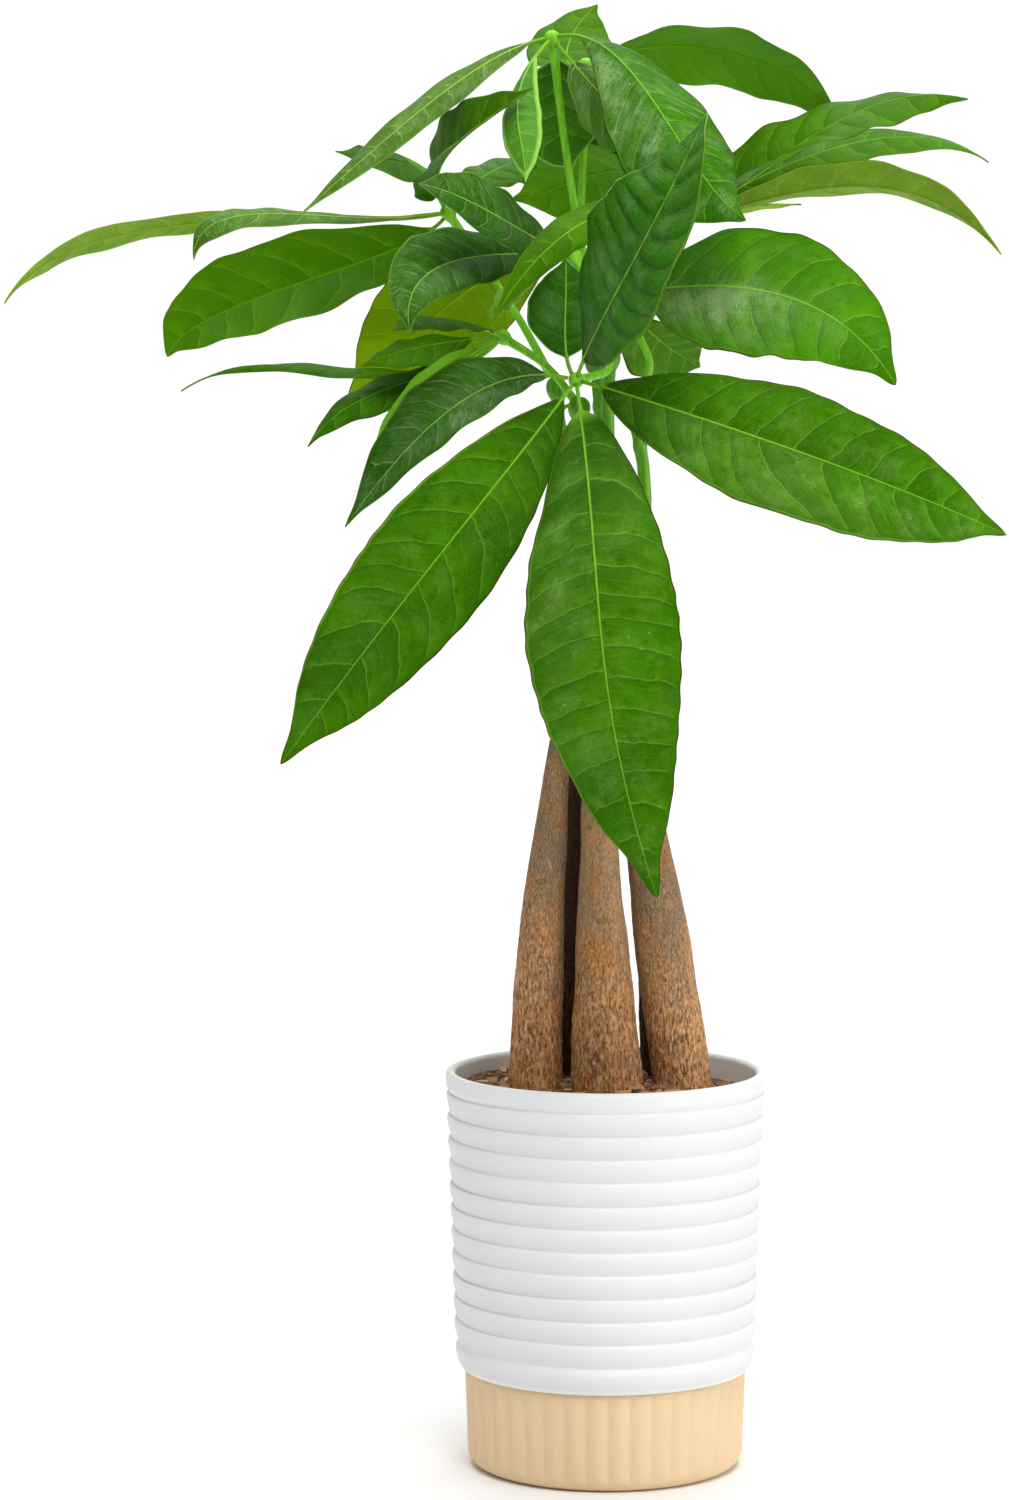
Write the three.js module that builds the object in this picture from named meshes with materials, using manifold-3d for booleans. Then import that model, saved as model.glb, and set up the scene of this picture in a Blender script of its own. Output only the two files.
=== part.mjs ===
// Potted money tree: five bare trunks in a ribbed white pot on a tan foot, under a crown of hand-shaped leaves.
// Millimetres, +Z up. The origin is the centre of the foot's underside, and the front of the plant looks to -Y.
import * as THREE from 'three';
import { mergeVertices } from 'three/addons/utils/BufferGeometryUtils.js';
import Module from 'manifold-3d';

const wasm = await Module();
wasm.setup();

// ---- Driving dimensions -------------------------------------------------------------------------
const gap = 0.3;              // air left between neighbouring pieces

const rimRadius = 65;         // pot, outside at the rim
const potTop = 162;
const lowerRadius = 60.8;     // pot, outside, where the line of its ribs would meet the foot
const potWall = 4;
const ribCount = 12;
const ribPitch = 9.3;
const ribDepth = 1;
const firstGroove = 153.6;    // height of the groove under the lip
const shoulderRadius = 58;    // pot, outside where it meets the foot
const spigotRadius = 51;      // the plain neck that stands inside the foot
const potFloor = 6;           // thickness

const footHeight = 40;
const footRadius = 57.2;
const footBottomRadius = 56;
const footFillet = 7;
const footChamfer = 0.8;
const footFloor = 8;
const fluteCount = 40;
const fluteDepth = 0.7;

const soilEdge = 152;         // height of the soil at the wall
const soilCrown = 157;        // and on the mound around the trunks
const moundRadius = 24;
const trunkFoot = 104;        // how deep the trunks are planted
const trunkTop = 297;

const knob = 4;               // swelling at the hub of each leaf
const shootKnob = 5;          // and at the top of each shoot
const shootFoot = 3.2;        // radius where a shoot leaves its trunk
const shootTaper = 0.8;       // and what it loses towards its top
const stalkRadius = 1.6;
const stalkFlare = 0.4;       // added at both ends of a leaf stalk
const leafletStalk = 8;       // bare length between the swelling and the blade
const leafletStalkRadius = 0.8;
const bladeHalf = 0.45;       // half of a blade's thickness at its midrib
const usualFullness = 0.75;   // the smaller, the blunter a blade's ends
const bladeTaper = 0.25;      // share of its width that a blade loses towards its tip
const droopOnset = 0.1;       // share of the blade over which its halves take up their droop
const tipShare = 0.85;        // how close the last section comes to the very tip
const startStep = 0.0005;     // how finely the place where a leaflet leaves its hub is found
const bladeStations = [0.05, 0.14, 0.26, 0.4, 0.54, 0.67, 0.79, 0.89, 0.96];

// Each trunk: [x, y, radius] at the foot, at the soil, half way up and at the top.
const trunks = {
  left: [[-29, -7, 12], [-28.6, -7, 11.2], [-25.8, -6, 8.8], [-18.5, -3, 4.4]],
  middle: [[1, -14, 15.6], [0.3, -13, 14.8], [-2.2, -11, 9.9], [-3.5, -9, 5.4]],
  right: [[34, -4, 12.4], [31, -4, 12], [21.2, -3, 11.1], [10.5, -1, 5]],
  back_left: [[-15, 21, 11.5], [-14, 20, 11], [-12, 16, 8.6], [-11, 11, 5.6]],
  back_right: [[25, 26, 10.5], [24.5, 25, 10], [20.5, 20, 7.6], [12, 13, 5]],
};

// Each green shoot: the points it passes through above its trunk, the last one being its swollen tip.
const shoots = {
  left: [[-19, -3, 340], [-13, -1, 395], [-11, 0, 430]],
  middle: [[-2, -8, 350], [0, -7, 410], [1, -6, 450]],
  right: [[14.5, -2, 350], [15, -3, 400], [10, -1, 430]],
  back_left: [[-14, 15, 350], [-17, 17, 400], [-20, 18, 438]],
  back_right: [[3, 17, 360], [-1, 21, 410], [-4, 23, 448]],
};

// Each leaf: its shoot, the points its stalk bends through, the hub that its leaflets spread from and the
// numbers of its dark leaflets, if it has any.
// Each leaflet: two points a third and two thirds along its midrib, its tip, its width, its roll about the
// midrib (positive lowers the side on the right, seen from the hub), the turn that is added towards the tip,
// how far its halves droop from level, in degrees; then, where they differ from the usual, the share of the
// blade at which it is widest, its fullness (below) and the droop at the tip.
const leaves = {
  front: {
    shoot: 'middle', via: [[-1, -27, 444]], hub: [-13, -45, 441], dark: [4, 5],
    leaflets: [
      [[-42, -78, 404], [-82, -95, 354], [-127, -88, 294], 51, -65, 0, -8, 0.57, 0.72],
      [[-7, -118, 374], [-1, -132, 317], [17, -110, 245], 60, 36, -8, 8, 0.48, 0.6],
      [[36, -70, 426], [96, -76, 405], [154, -60, 381], 57, 60, 0, -8, 0.52],
      [[-2, -80, 467], [15, -104, 500], [36, -94, 542], 62, 78, 0, -8, 0.52],
      [[-17, -38, 453], [-17, -31, 470], [-17, -26, 489], 31, 0, 0, 8],
      [[-43, -52, 440], [-72, -62, 421], [-103, -58, 384], 38, -38, 0, -14],
    ],
  },
  top: {
    shoot: 'middle', via: [[-8, 10, 485], [-16, 14, 530]], hub: [-22, 5, 577],
    leaflets: [
      [[-51, -12, 564], [-84, -30, 538], [-121, -44, 505], 19, -25, 0, 8],
      [[6, -22, 565], [29, -46, 531], [53, -48, 503], 50, 40, 0, 26, 0.6],
      [[-35, -35, 554], [-35, -60, 535], [-33, -74, 517], 19, 20, 0, 25],
      [[-8, 0, 560], [5, 8, 547], [22, 16, 529], 42, 50, 0, 8],
      [[-19, 21, 563], [-18, 27, 543], [-13, 27, 526], 40, 0, 0, 8],
    ],
  },
  crown: {
    shoot: 'back_right', via: [[-10, 33, 488], [-9, 36, 530]], hub: [-8, 34, 568],
    leaflets: [
      [[28, 48, 577], [68, 52, 569], [97, 44, 543], 51, -25, 0, 8, 0.42],
      [[-15, 58, 571], [-13, 82, 583], [-2, 98, 597], 36, 0, 0, 8],
      [[0, 60, 556], [3, 84, 540], [8, 92, 515], 46, 0, 0, 8],
    ],
  },
  inner: {
    shoot: 'middle', via: [[-4, -20, 467]], hub: [-14, -22, 490], dark: [1, 2, 4],
    leaflets: [
      [[-29, -42, 496], [-51, -62, 508], [-74, -74, 516], 34, -55, 0, -4],
      [[-42, -28, 490], [-69, -64, 483], [-77, -82, 459], 34, -35, -10, -8],
      [[-43, 34, 485], [-73, 62, 464], [-106, 74, 434], 52, 50, 0, 8, 0.58],
      [[-28, -22, 484], [-41, -24, 475], [-47, -26, 466], 30, 20, 0, 8],
    ],
  },
  left: {
    shoot: 'back_left', via: [[-38, 18, 470]], hub: [-64, 14, 508], dark: [3],
    leaflets: [
      [[-123, 0, 505], [-190, -20, 499], [-238, -30, 471], 28, 20, 0, 0, 0.7, 0.65],
      [[-96, 30, 490], [-149, 50, 472], [-180, 56, 450], 52, 36, 0, -9, 0.52],
      [[-106, -20, 505], [-145, -34, 505], [-163, -34, 488], 19, -25, 0, 8, 0.62],
      [[-67, -7, 525], [-53, -32, 539], [-30, -52, 554], 34, 60, 0, -25, 0.36],
      [[-71, 38, 525], [-87, 58, 531], [-111, 74, 535], 38, 26, 0, 8],
      [[-52, 32, 521], [-40, 43, 528], [-27, 50, 531], 34, 12, 0, 8],
    ],
  },
  lower: {
    shoot: 'left', via: [[-24, 4, 446]], hub: [-42, 8, 458], dark: [4, 5],
    leaflets: [
      [[-80, 42, 443], [-129, 44, 446], [-173, 34, 436], 22, -12, 0, 4],
      [[-71, 14, 443], [-98, 10, 433], [-120, 4, 414], 28, -30, 0, 8],
      [[-61, -8, 448], [-79, -20, 434], [-93, -20, 414], 21, 50, 0, 8],
      [[-54, -20, 463], [-69, -38, 465], [-84, -50, 460], 30, -10, 0, 8],
      [[-61, 14, 456], [-79, 8, 453], [-99, 4, 446], 30, -25, 0, 8],
    ],
  },
  right: {
    shoot: 'back_right', via: [[15, 26, 468]], hub: [31, 22, 504],
    leaflets: [
      [[67, 4, 528], [104, 0, 549], [143, -8, 552], 49, 26, 0, -35, 0.4, 0.6, 30],
      [[72, 50, 527], [118, 62, 540], [159, 64, 530], 30, 24, 0, 8],
      [[74, 24, 516], [119, 20, 517], [159, 12, 491], 34, -22, 0, -12],
      [[44, 46, 509], [61, 62, 512], [82, 70, 513], 20, -10, 0, 8],
      [[12, 60, 526], [-10, 82, 524], [-38, 92, 516], 58, 32, 0, 8],
      [[7, -32, 508], [-20, -73, 495], [-46, -88, 463], 18, -34, 0, 8],
    ],
  },
  side: {
    shoot: 'right', via: [[17, -4, 446], [12, -6, 460]], hub: [6, -8, 475],
    leaflets: [
      [[41, -24, 478], [79, -40, 470], [112, -44, 439], 58, 60, 0, 4, 0.42, 0.62],
      [[16, 4, 462], [27, 11, 453], [38, 13, 446], 44, -25, 0, 8],
      [[34, 8, 477], [60, 32, 471], [84, 54, 452], 40, 20, 0, 8],
    ],
  },
};
const smallLeaf = [[-18, -6, 429], [-21, -9, 421], [-20, -9, 411], 7, 0, 0, 8];

// ---- Finishes -----------------------------------------------------------------------------------
const finish = (color, roughness) => new THREE.MeshStandardMaterial({ color, roughness, metalness: 0 });
const potWhite = finish('#f0eeea', 0.7);
const footTan = finish('#ecce9f', 0.8);
const soilBrown = finish('#3d2a1c', 1);
const barkBrown = finish('#967048', 0.85);
const shootGreen = finish('#5fae1c', 0.5);
const stalkGreen = finish('#77c21c', 0.45);
const leafGreen = finish('#3c8a18', 0.45);
const leafDark = finish('#2c6424', 0.5);

// ---- Shared geometry ----------------------------------------------------------------------------
const vec = (p) => new THREE.Vector3(...p);
const radians = THREE.MathUtils.degToRad;

function closedGeometry(points, triangles) {
  const geometry = new THREE.BufferGeometry();
  const numbers = points.flatMap((p) => [p.x, p.y, p.z]);
  geometry.setAttribute('position', new THREE.Float32BufferAttribute(numbers, 3));
  geometry.setIndex(triangles);
  return geometry;
}

// Rings of equally many points, joined from one to the next and closed at both ends by fans or flat caps.
// The diagonals of neighbouring sides mirror each other, so that the two faces of a thin blade never cross.
function skin(rings) {
  const sides = rings[0].length;
  const points = rings.flat();
  const triangles = [];
  const last = rings.length - 1;
  for (let i = 0; i < last; i += 1) {
    for (let k = 0; k < sides; k += 1) {
      const a = i * sides + k;
      const b = i * sides + (k + 1) % sides;
      if (k % 2) triangles.push(a, b, b + sides, a, b + sides, a + sides);
      else triangles.push(a, b, a + sides, b, b + sides, a + sides);
    }
  }
  for (let k = 1; k < sides - 1; k += 1) {
    triangles.push(0, k + 1, k, last * sides, last * sides + k, last * sides + k + 1);
  }
  return closedGeometry(points, triangles);
}

function toSolid(geometry) {
  const bare = geometry.clone();
  bare.deleteAttribute('normal');
  bare.deleteAttribute('uv');
  const welded = mergeVertices(bare, 1e-4);
  return new wasm.Manifold(new wasm.Mesh({
    numProp: 3,
    vertProperties: new Float32Array(welded.attributes.position.array),
    triVerts: new Uint32Array(welded.index.array),
  }));
}

function toGeometry(solid) {
  const mesh = solid.getMesh();
  const geometry = new THREE.BufferGeometry();
  geometry.setAttribute('position', new THREE.BufferAttribute(mesh.vertProperties, 3));
  geometry.setIndex(new THREE.BufferAttribute(mesh.triVerts, 1));
  return geometry;
}

// A solid of revolution about Z from [radius, height] points that start and end on the axis.
function turned(profile, segments) {
  const geometry = new THREE.LatheGeometry(profile.map(([r, z]) => new THREE.Vector2(r, z)), segments);
  return geometry.rotateX(Math.PI / 2);
}

// A round tube from one share of a path to its end, with a radius for each share. A level tube has
// horizontal rings; any other has them square to the path, turned from a sideways reference.
function tube(path, radiusAt, { sides, steps, start = 0, level = false, reference = [0, 1, 0] }) {
  const rings = [];
  for (let i = 0; i <= steps; i += 1) {
    const share = start + (1 - start) * (i / steps);
    const centre = path.getPointAt(share);
    const along = level ? new THREE.Vector3(0, 0, 1) : path.getTangentAt(share);
    const across = new THREE.Vector3().crossVectors(vec(reference), along).normalize();
    const up = new THREE.Vector3().crossVectors(along, across);
    const radius = radiusAt(share);
    rings.push(Array.from({ length: sides }, (_, k) => {
      const angle = (2 * Math.PI * k) / sides;
      return centre.clone()
        .addScaledVector(across, radius * Math.cos(angle))
        .addScaledVector(up, radius * Math.sin(angle));
    }));
  }
  return skin(rings);
}

// ---- Pot, foot and soil -------------------------------------------------------------------------
const { mapLinear } = THREE.MathUtils;
const lipRadius = potWall / 2;
const lipCentre = potTop - lipRadius;
const insideFloor = footHeight + potFloor;
const innerFoot = shoulderRadius - potWall;
const innerRim = rimRadius - potWall;
const outerRadiusAt = (z) => mapLinear(z, footHeight, potTop, lowerRadius, rimRadius);
const innerRadiusAt = (z) => mapLinear(z, insideFloor, lipCentre, innerFoot, innerRim);

function pot() {
  const profile = [[0, footFloor + gap], [spigotRadius - gap, footFloor + gap]];
  profile.push([spigotRadius - gap, footHeight + gap], [shoulderRadius, footHeight + gap]);
  for (let rib = ribCount - 1; rib >= 0; rib -= 1) {
    const groove = firstGroove - rib * ribPitch;
    const crest = groove + ribPitch / 2;
    profile.push([outerRadiusAt(groove) - ribDepth, groove]);
    if (rib > 0) profile.push([outerRadiusAt(crest), crest]);
  }
  for (const angle of [0, 45, 90, 135, 180]) {
    const [across, up] = [Math.cos(radians(angle)), Math.sin(radians(angle))];
    profile.push([rimRadius - lipRadius + lipRadius * across, lipCentre + lipRadius * up]);
  }
  profile.push([innerRadiusAt(insideFloor), insideFloor], [spigotRadius - potWall, footHeight]);
  profile.push([spigotRadius - potWall, footFloor + gap + potFloor], [0, footFloor + gap + potFloor]);
  return turned(profile, 40);
}

function foot() {
  const heights = [[footBottomRadius - footFillet, 0, 0]];
  for (const angle of [30, 60, 90]) {
    const reach = footFillet * (1 - Math.sin(radians(angle)));
    heights.push([footBottomRadius - reach, footFillet * (1 - Math.cos(radians(angle))), angle / 90]);
  }
  heights.push([footRadius, footHeight - 2 * footChamfer, 1], [footRadius - footChamfer, footHeight, 0]);
  const sides = fluteCount * 2;
  const rings = heights.map(([radius, z, fluted]) => Array.from({ length: sides }, (_, k) => {
    const angle = (2 * Math.PI * k) / sides;
    const reach = radius - (k % 2) * fluteDepth * fluted;
    return new THREE.Vector3(reach * Math.cos(angle), reach * Math.sin(angle), z);
  }));
  const pocket = turned(
    [[0, footFloor], [spigotRadius, footFloor], [spigotRadius, footHeight + 1], [0, footHeight + 1]], 40);
  return toGeometry(toSolid(skin(rings)).subtract(toSolid(pocket)));
}

function soil(trunkSolids) {
  const floor = footFloor + 2 * gap + potFloor;
  const neck = spigotRadius - potWall - gap;
  const bend = insideFloor + gap;
  let body = toSolid(turned([
    [0, floor], [neck, floor], [neck, footHeight], [innerRadiusAt(bend) - gap, bend],
    [innerRadiusAt(soilEdge) - gap, soilEdge], [moundRadius, soilCrown], [0, soilCrown],
  ], 40));
  for (const solid of trunkSolids) body = body.subtract(solid);
  return toGeometry(body);
}

// ---- Trunks and shoots --------------------------------------------------------------------------
const trunkHeights = [trunkFoot, soilEdge, (soilEdge + trunkTop) / 2, trunkTop];

function trunk(stations, extra = 0) {
  const centres = stations.map(([x, y], i) => new THREE.Vector3(x, y, trunkHeights[i] - (i ? 0 : extra)));
  const radii = new THREE.SplineCurve(stations.map(([, , r], i) => new THREE.Vector2(i, r)));
  const path = new THREE.CatmullRomCurve3(centres);
  return tube(path, (share) => radii.getPoint(share).y + extra, { sides: 12, steps: 8, level: true });
}

function shoot(base, points) {
  const start = new THREE.Vector3(base[0], base[1], trunkTop + gap);
  const path = new THREE.CatmullRomCurve3([start, ...points.map(vec)]);
  const stem = tube(path, (share) => shootFoot - shootTaper * share, { sides: 8, steps: 8, level: true });
  return toGeometry(toSolid(stem).add(swelling(points.at(-1), shootKnob)));
}

function swelling(centre, radius) {
  return toSolid(new THREE.IcosahedronGeometry(radius, 1)).translate(centre);
}

// ---- Leaves -------------------------------------------------------------------------------------
// A leaf stalk starts just off the swelling of its shoot and ends in the hub of its leaflets.
function leafStalk(from, via, hub) {
  const path = new THREE.CatmullRomCurve3([from, ...via, hub].map(vec));
  const start = (shootKnob + gap) / path.getLength();
  const reference = Math.abs(hub[2] - from[2]) > Math.abs(hub[1] - from[1]) ? [0, 1, 0] : [0, 0, 1];
  const radiusAt = (share) => stalkRadius + stalkFlare * (1 - Math.sin(Math.PI * share));
  const stem = tube(path, radiusAt, { sides: 6, steps: 8, start, reference });
  return toGeometry(toSolid(stem).add(swelling(hub, knob)));
}

// The cubic curve through four points, reached at 0, 1/3, 2/3 and 1 of its parameter.
function midrib(hub, third, twoThirds, tip) {
  const [a, b, c, d] = [hub, third, twoThirds, tip].map(vec);
  const mix = (wa, wb, wc, wd) => new THREE.Vector3().addScaledVector(a, wa).addScaledVector(b, wb)
    .addScaledVector(c, wc).addScaledVector(d, wd).divideScalar(6);
  return new THREE.CubicBezierCurve3(a, mix(-5, 18, -9, 2), mix(2, -9, 18, -5), d);
}

// A thin blade of kite-shaped sections: left margin, upper midrib, right margin and lower midrib.
// Half the width is half of the greatest width times sin(pi s^a)^fullness (1 - taper s^4), where s runs over the
// blade and a puts the widest place where the leaflet has it.
function leaflet(hub, row, hubRadius = knob) {
  const [third, twoThirds, tip, width, roll, twist, fold] = row;
  const [widest = 0.5, fullness = usualFullness, foldAtTip = fold] = row.slice(7);
  const curve = midrib(hub, third, twoThirds, tip);
  const chord = vec(tip).distanceTo(vec(hub));
  let start = 0;
  while (curve.getPoint(start).distanceTo(curve.v0) < hubRadius + gap) start += startStep;
  const bladeStart = start + leafletStalk / chord;
  const heading = new THREE.Vector3(tip[0] - hub[0], tip[1] - hub[1], 0).normalize();
  const level = new THREE.Vector3(heading.y, -heading.x, 0);
  const skew = Math.log(0.5) / Math.log(widest);
  const stations = [[start, 0], [bladeStart, 0]];
  for (const s of bladeStations) stations.push([bladeStart + (1 - bladeStart) * s, s]);
  const rings = stations.map(([t, s]) => {
    const centre = curve.getPoint(t);
    const along = curve.getTangent(t);
    const right = level.clone().addScaledVector(along, -level.dot(along)).normalize();
    right.applyAxisAngle(along, radians(roll + twist * t));
    const up = new THREE.Vector3().crossVectors(right, along);
    const bulge = Math.sin(Math.PI * s ** skew) ** fullness * (1 - bladeTaper * s ** 4);
    const half = Math.max((width / 2) * bulge, leafletStalkRadius);
    const droop = radians(fold + (foldAtTip - fold) * s) * Math.min(1, s / droopOnset);
    const thick = s > 0 ? bladeHalf : leafletStalkRadius;
    const place = (sideways, upwards) => centre.clone()
      .addScaledVector(right, sideways).addScaledVector(up, upwards);
    return [place(-half * Math.cos(droop), -half * Math.sin(droop)), place(0, thick),
      place(half * Math.cos(droop), -half * Math.sin(droop)), place(0, -thick)];
  });
  rings.push(rings.at(-1).map((p) => p.clone().lerp(vec(tip), tipShare)));
  return skin(rings);
}

// ---- Assembly -----------------------------------------------------------------------------------
const plant = new THREE.Group();

function add(name, geometry, material) {
  const mesh = new THREE.Mesh(geometry, material);
  mesh.name = name;
  plant.add(mesh);
}

add('pot', pot(), potWhite);
add('pot_foot', foot(), footTan);
add('soil', soil(Object.values(trunks).map((stations) => toSolid(trunk(stations, gap)))), soilBrown);
for (const [name, stations] of Object.entries(trunks)) {
  add(`trunk_${name}`, trunk(stations), barkBrown);
  add(`shoot_${name}`, shoot(stations.at(-1), shoots[name]), shootGreen);
}
for (const [name, leaf] of Object.entries(leaves)) {
  add(`${name}_leaf_stalk`, leafStalk(shoots[leaf.shoot].at(-1), leaf.via, leaf.hub), stalkGreen);
  leaf.leaflets.forEach((row, i) => {
    const green = leaf.dark?.includes(i + 1) ? leafDark : leafGreen;
    add(`${name}_leaflet_${i + 1}`, leaflet(leaf.hub, row), green);
  });
}
add('small_leaf', leaflet(shoots.left.at(-1), smallLeaf, shootKnob), leafGreen);

export default plant;
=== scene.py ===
import bpy
import math
import numpy as np
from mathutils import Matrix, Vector
from types import SimpleNamespace


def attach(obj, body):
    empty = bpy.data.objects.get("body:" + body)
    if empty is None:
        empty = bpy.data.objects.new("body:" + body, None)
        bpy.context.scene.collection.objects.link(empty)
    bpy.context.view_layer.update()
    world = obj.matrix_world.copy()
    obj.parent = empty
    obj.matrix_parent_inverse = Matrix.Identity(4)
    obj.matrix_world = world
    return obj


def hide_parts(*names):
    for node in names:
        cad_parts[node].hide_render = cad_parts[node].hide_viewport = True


# Potted money tree. Lengths in the tables are millimetres, the front looks to -Y, and Z is up.

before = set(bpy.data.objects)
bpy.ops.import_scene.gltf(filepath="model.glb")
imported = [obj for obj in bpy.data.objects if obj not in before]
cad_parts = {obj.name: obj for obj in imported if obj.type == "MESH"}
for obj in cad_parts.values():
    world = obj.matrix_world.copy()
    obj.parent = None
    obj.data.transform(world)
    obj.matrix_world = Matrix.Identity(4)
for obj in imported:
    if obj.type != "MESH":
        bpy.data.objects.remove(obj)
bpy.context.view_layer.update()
mm = 0.001
print("frame loaded:", len(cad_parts), "nodes")


def fade(x, low, high):
    # 0 below low, 1 above high, 3x^2 - 2x^3 between them
    t = np.clip((x - low) / (high - low), 0, 1)
    return t * t * (3 - 2 * t)


def bell(x, width):
    # exp(-(x / width)^2)
    return np.exp(-(x / width) ** 2)


def lumps(u, v, seed, columns=64, rows=64):
    # smooth noise from -1 to 1: random numbers on a lattice, blended by 3x^2 - 2x^3; it repeats after
    # that many columns of u, so that it closes around a trunk
    grid = np.random.default_rng(seed).uniform(-1, 1, (rows, columns))
    i, j = np.floor(u).astype(int), np.floor(v).astype(int)
    a, b = fade(u - i, 0, 1), fade(v - j, 0, 1)
    low, high = (grid[(j + k) % rows, i % columns] * (1 - a) + grid[(j + k) % rows, (i + 1) % columns] * a
                 for k in (0, 1))
    return low * (1 - b) + high * b


def circle(count):
    # angles at equal steps once round
    return np.linspace(0, 2 * np.pi, count, endpoint=False)


def unit(a):
    # vectors divided by their lengths
    return a / np.linalg.norm(a, axis=-1, keepdims=True)


def throughPoints(points, t):
    # Catmull-Rom curve through the points, t from 0 to 1, with mirrored points added past both ends
    p = np.asarray(points, float)
    p = np.vstack([2 * p[0] - p[1], p, 2 * p[-1] - p[-2]])
    spans = len(p) - 3
    x = np.clip(np.asarray(t, float) * spans, 0, spans - 1e-9)
    i = x.astype(int)
    f = (x - i)[:, None]
    a, b, c, d = p[i], p[i + 1], p[i + 2], p[i + 3]
    square, cube = 2 * a - 5 * b + 4 * c - d, 3 * b - a - 3 * c + d
    return 0.5 * (2 * b + (c - a) * f + square * f ** 2 + cube * f ** 3)


def evenly(points, count):
    # the curve through the points, resampled at equal steps of its length
    fine = throughPoints(points, np.linspace(0, 1, 400))
    run = np.concatenate([[0], np.cumsum(np.linalg.norm(np.diff(fine, axis=0), axis=1))])
    at = np.linspace(0, run[-1], count)
    return np.stack([np.interp(at, run, fine[:, k]) for k in range(3)], 1), run[-1]


def ringFaces(rings, around):
    # quads between closed rings of equally many points, and a fan from one end point at either end
    i, k = np.meshgrid(np.arange(rings - 1), np.arange(around), indexing="ij")
    a, b = i * around + k, i * around + (k + 1) % around
    quads = np.stack([a, b, b + around, a + around], -1).reshape(-1, 4)
    k = np.arange(around)
    first, last = rings * around, rings * around + 1
    foot = np.stack([np.full(around, first), (k + 1) % around, k], 1)
    top = (rings - 1) * around
    head = np.stack([np.full(around, last), top + k, top + (k + 1) % around], 1)
    return quads, np.vstack([foot, head])


def ringMesh(name, rings, materials, attributes=None, faceSlots=None):
    # a closed skin over rings[i, k, xyz] in millimetres; attributes[i, k] are numbers for the material, and
    # faceSlots says which material each column of faces takes
    count, around = rings.shape[:2]
    ends = np.stack([rings[0].mean(0), rings[-1].mean(0)])
    points = np.vstack([rings.reshape(-1, 3), ends]) * mm
    quads, fans = ringFaces(count, around)
    mesh = bpy.data.meshes.new(name)
    mesh.from_pydata(points.tolist(), [], quads.tolist() + fans.tolist())
    mesh.polygons.foreach_set("use_smooth", np.ones(len(mesh.polygons), bool))
    for key, values in (attributes or {}).items():
        data = np.concatenate([values.ravel(), [values[0].mean(), values[-1].mean()]]).astype(np.float32)
        mesh.attributes.new(key, "FLOAT", "POINT").data.foreach_set("value", data)
    for material in materials:
        mesh.materials.append(material)
    if faceSlots is not None:
        slots = np.zeros(len(mesh.polygons), np.int32)
        slots[:len(quads)] = np.tile(faceSlots, count - 1)
        mesh.polygons.foreach_set("material_index", slots)
    mesh.update()
    return bpy.data.objects.new(name, mesh)


def place(piece, node):
    # the piece rides on the one body and takes the place of its CAD node
    bpy.context.scene.collection.objects.link(piece)
    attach(piece, "root")
    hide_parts(node)


def sweep(centres, radii, around, reference=(0, 1, 0), level=False):
    # rings around a path: centre + r (cos a * across + sin a * up), square to the path or level; `across` is
    # square to the path and to the reference
    angle = circle(around)
    along = unit(np.gradient(centres, axis=0))
    if level:
        along = np.tile([0.0, 0.0, 1.0], (len(centres), 1))
    across = unit(np.cross(np.broadcast_to(reference, along.shape), along))
    up = np.cross(along, across)
    radii = np.broadcast_to(radii, (len(centres), around))[..., None]
    cos, sin = np.cos(angle)[None, :, None], np.sin(angle)[None, :, None]
    return centres[:, None] + radii * (cos * across[:, None] + sin * up[:, None])


class Number:
    # a shader value; arithmetic on it adds Math nodes

    def __init__(self, recipe, socket):
        self.recipe, self.socket = recipe, socket

    def math(self, operation, *others):
        return self.recipe.math(operation, self, *others)

    def __add__(self, other):
        return self.math("ADD", other)

    __radd__ = __add__

    def __mul__(self, other):
        return self.math("MULTIPLY", other)

    __rmul__ = __mul__

    def __sub__(self, other):
        return self.math("SUBTRACT", other)

    def __rsub__(self, other):
        return self.recipe.math("SUBTRACT", other, self)

    def __abs__(self):
        return self.math("ABSOLUTE")


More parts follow.
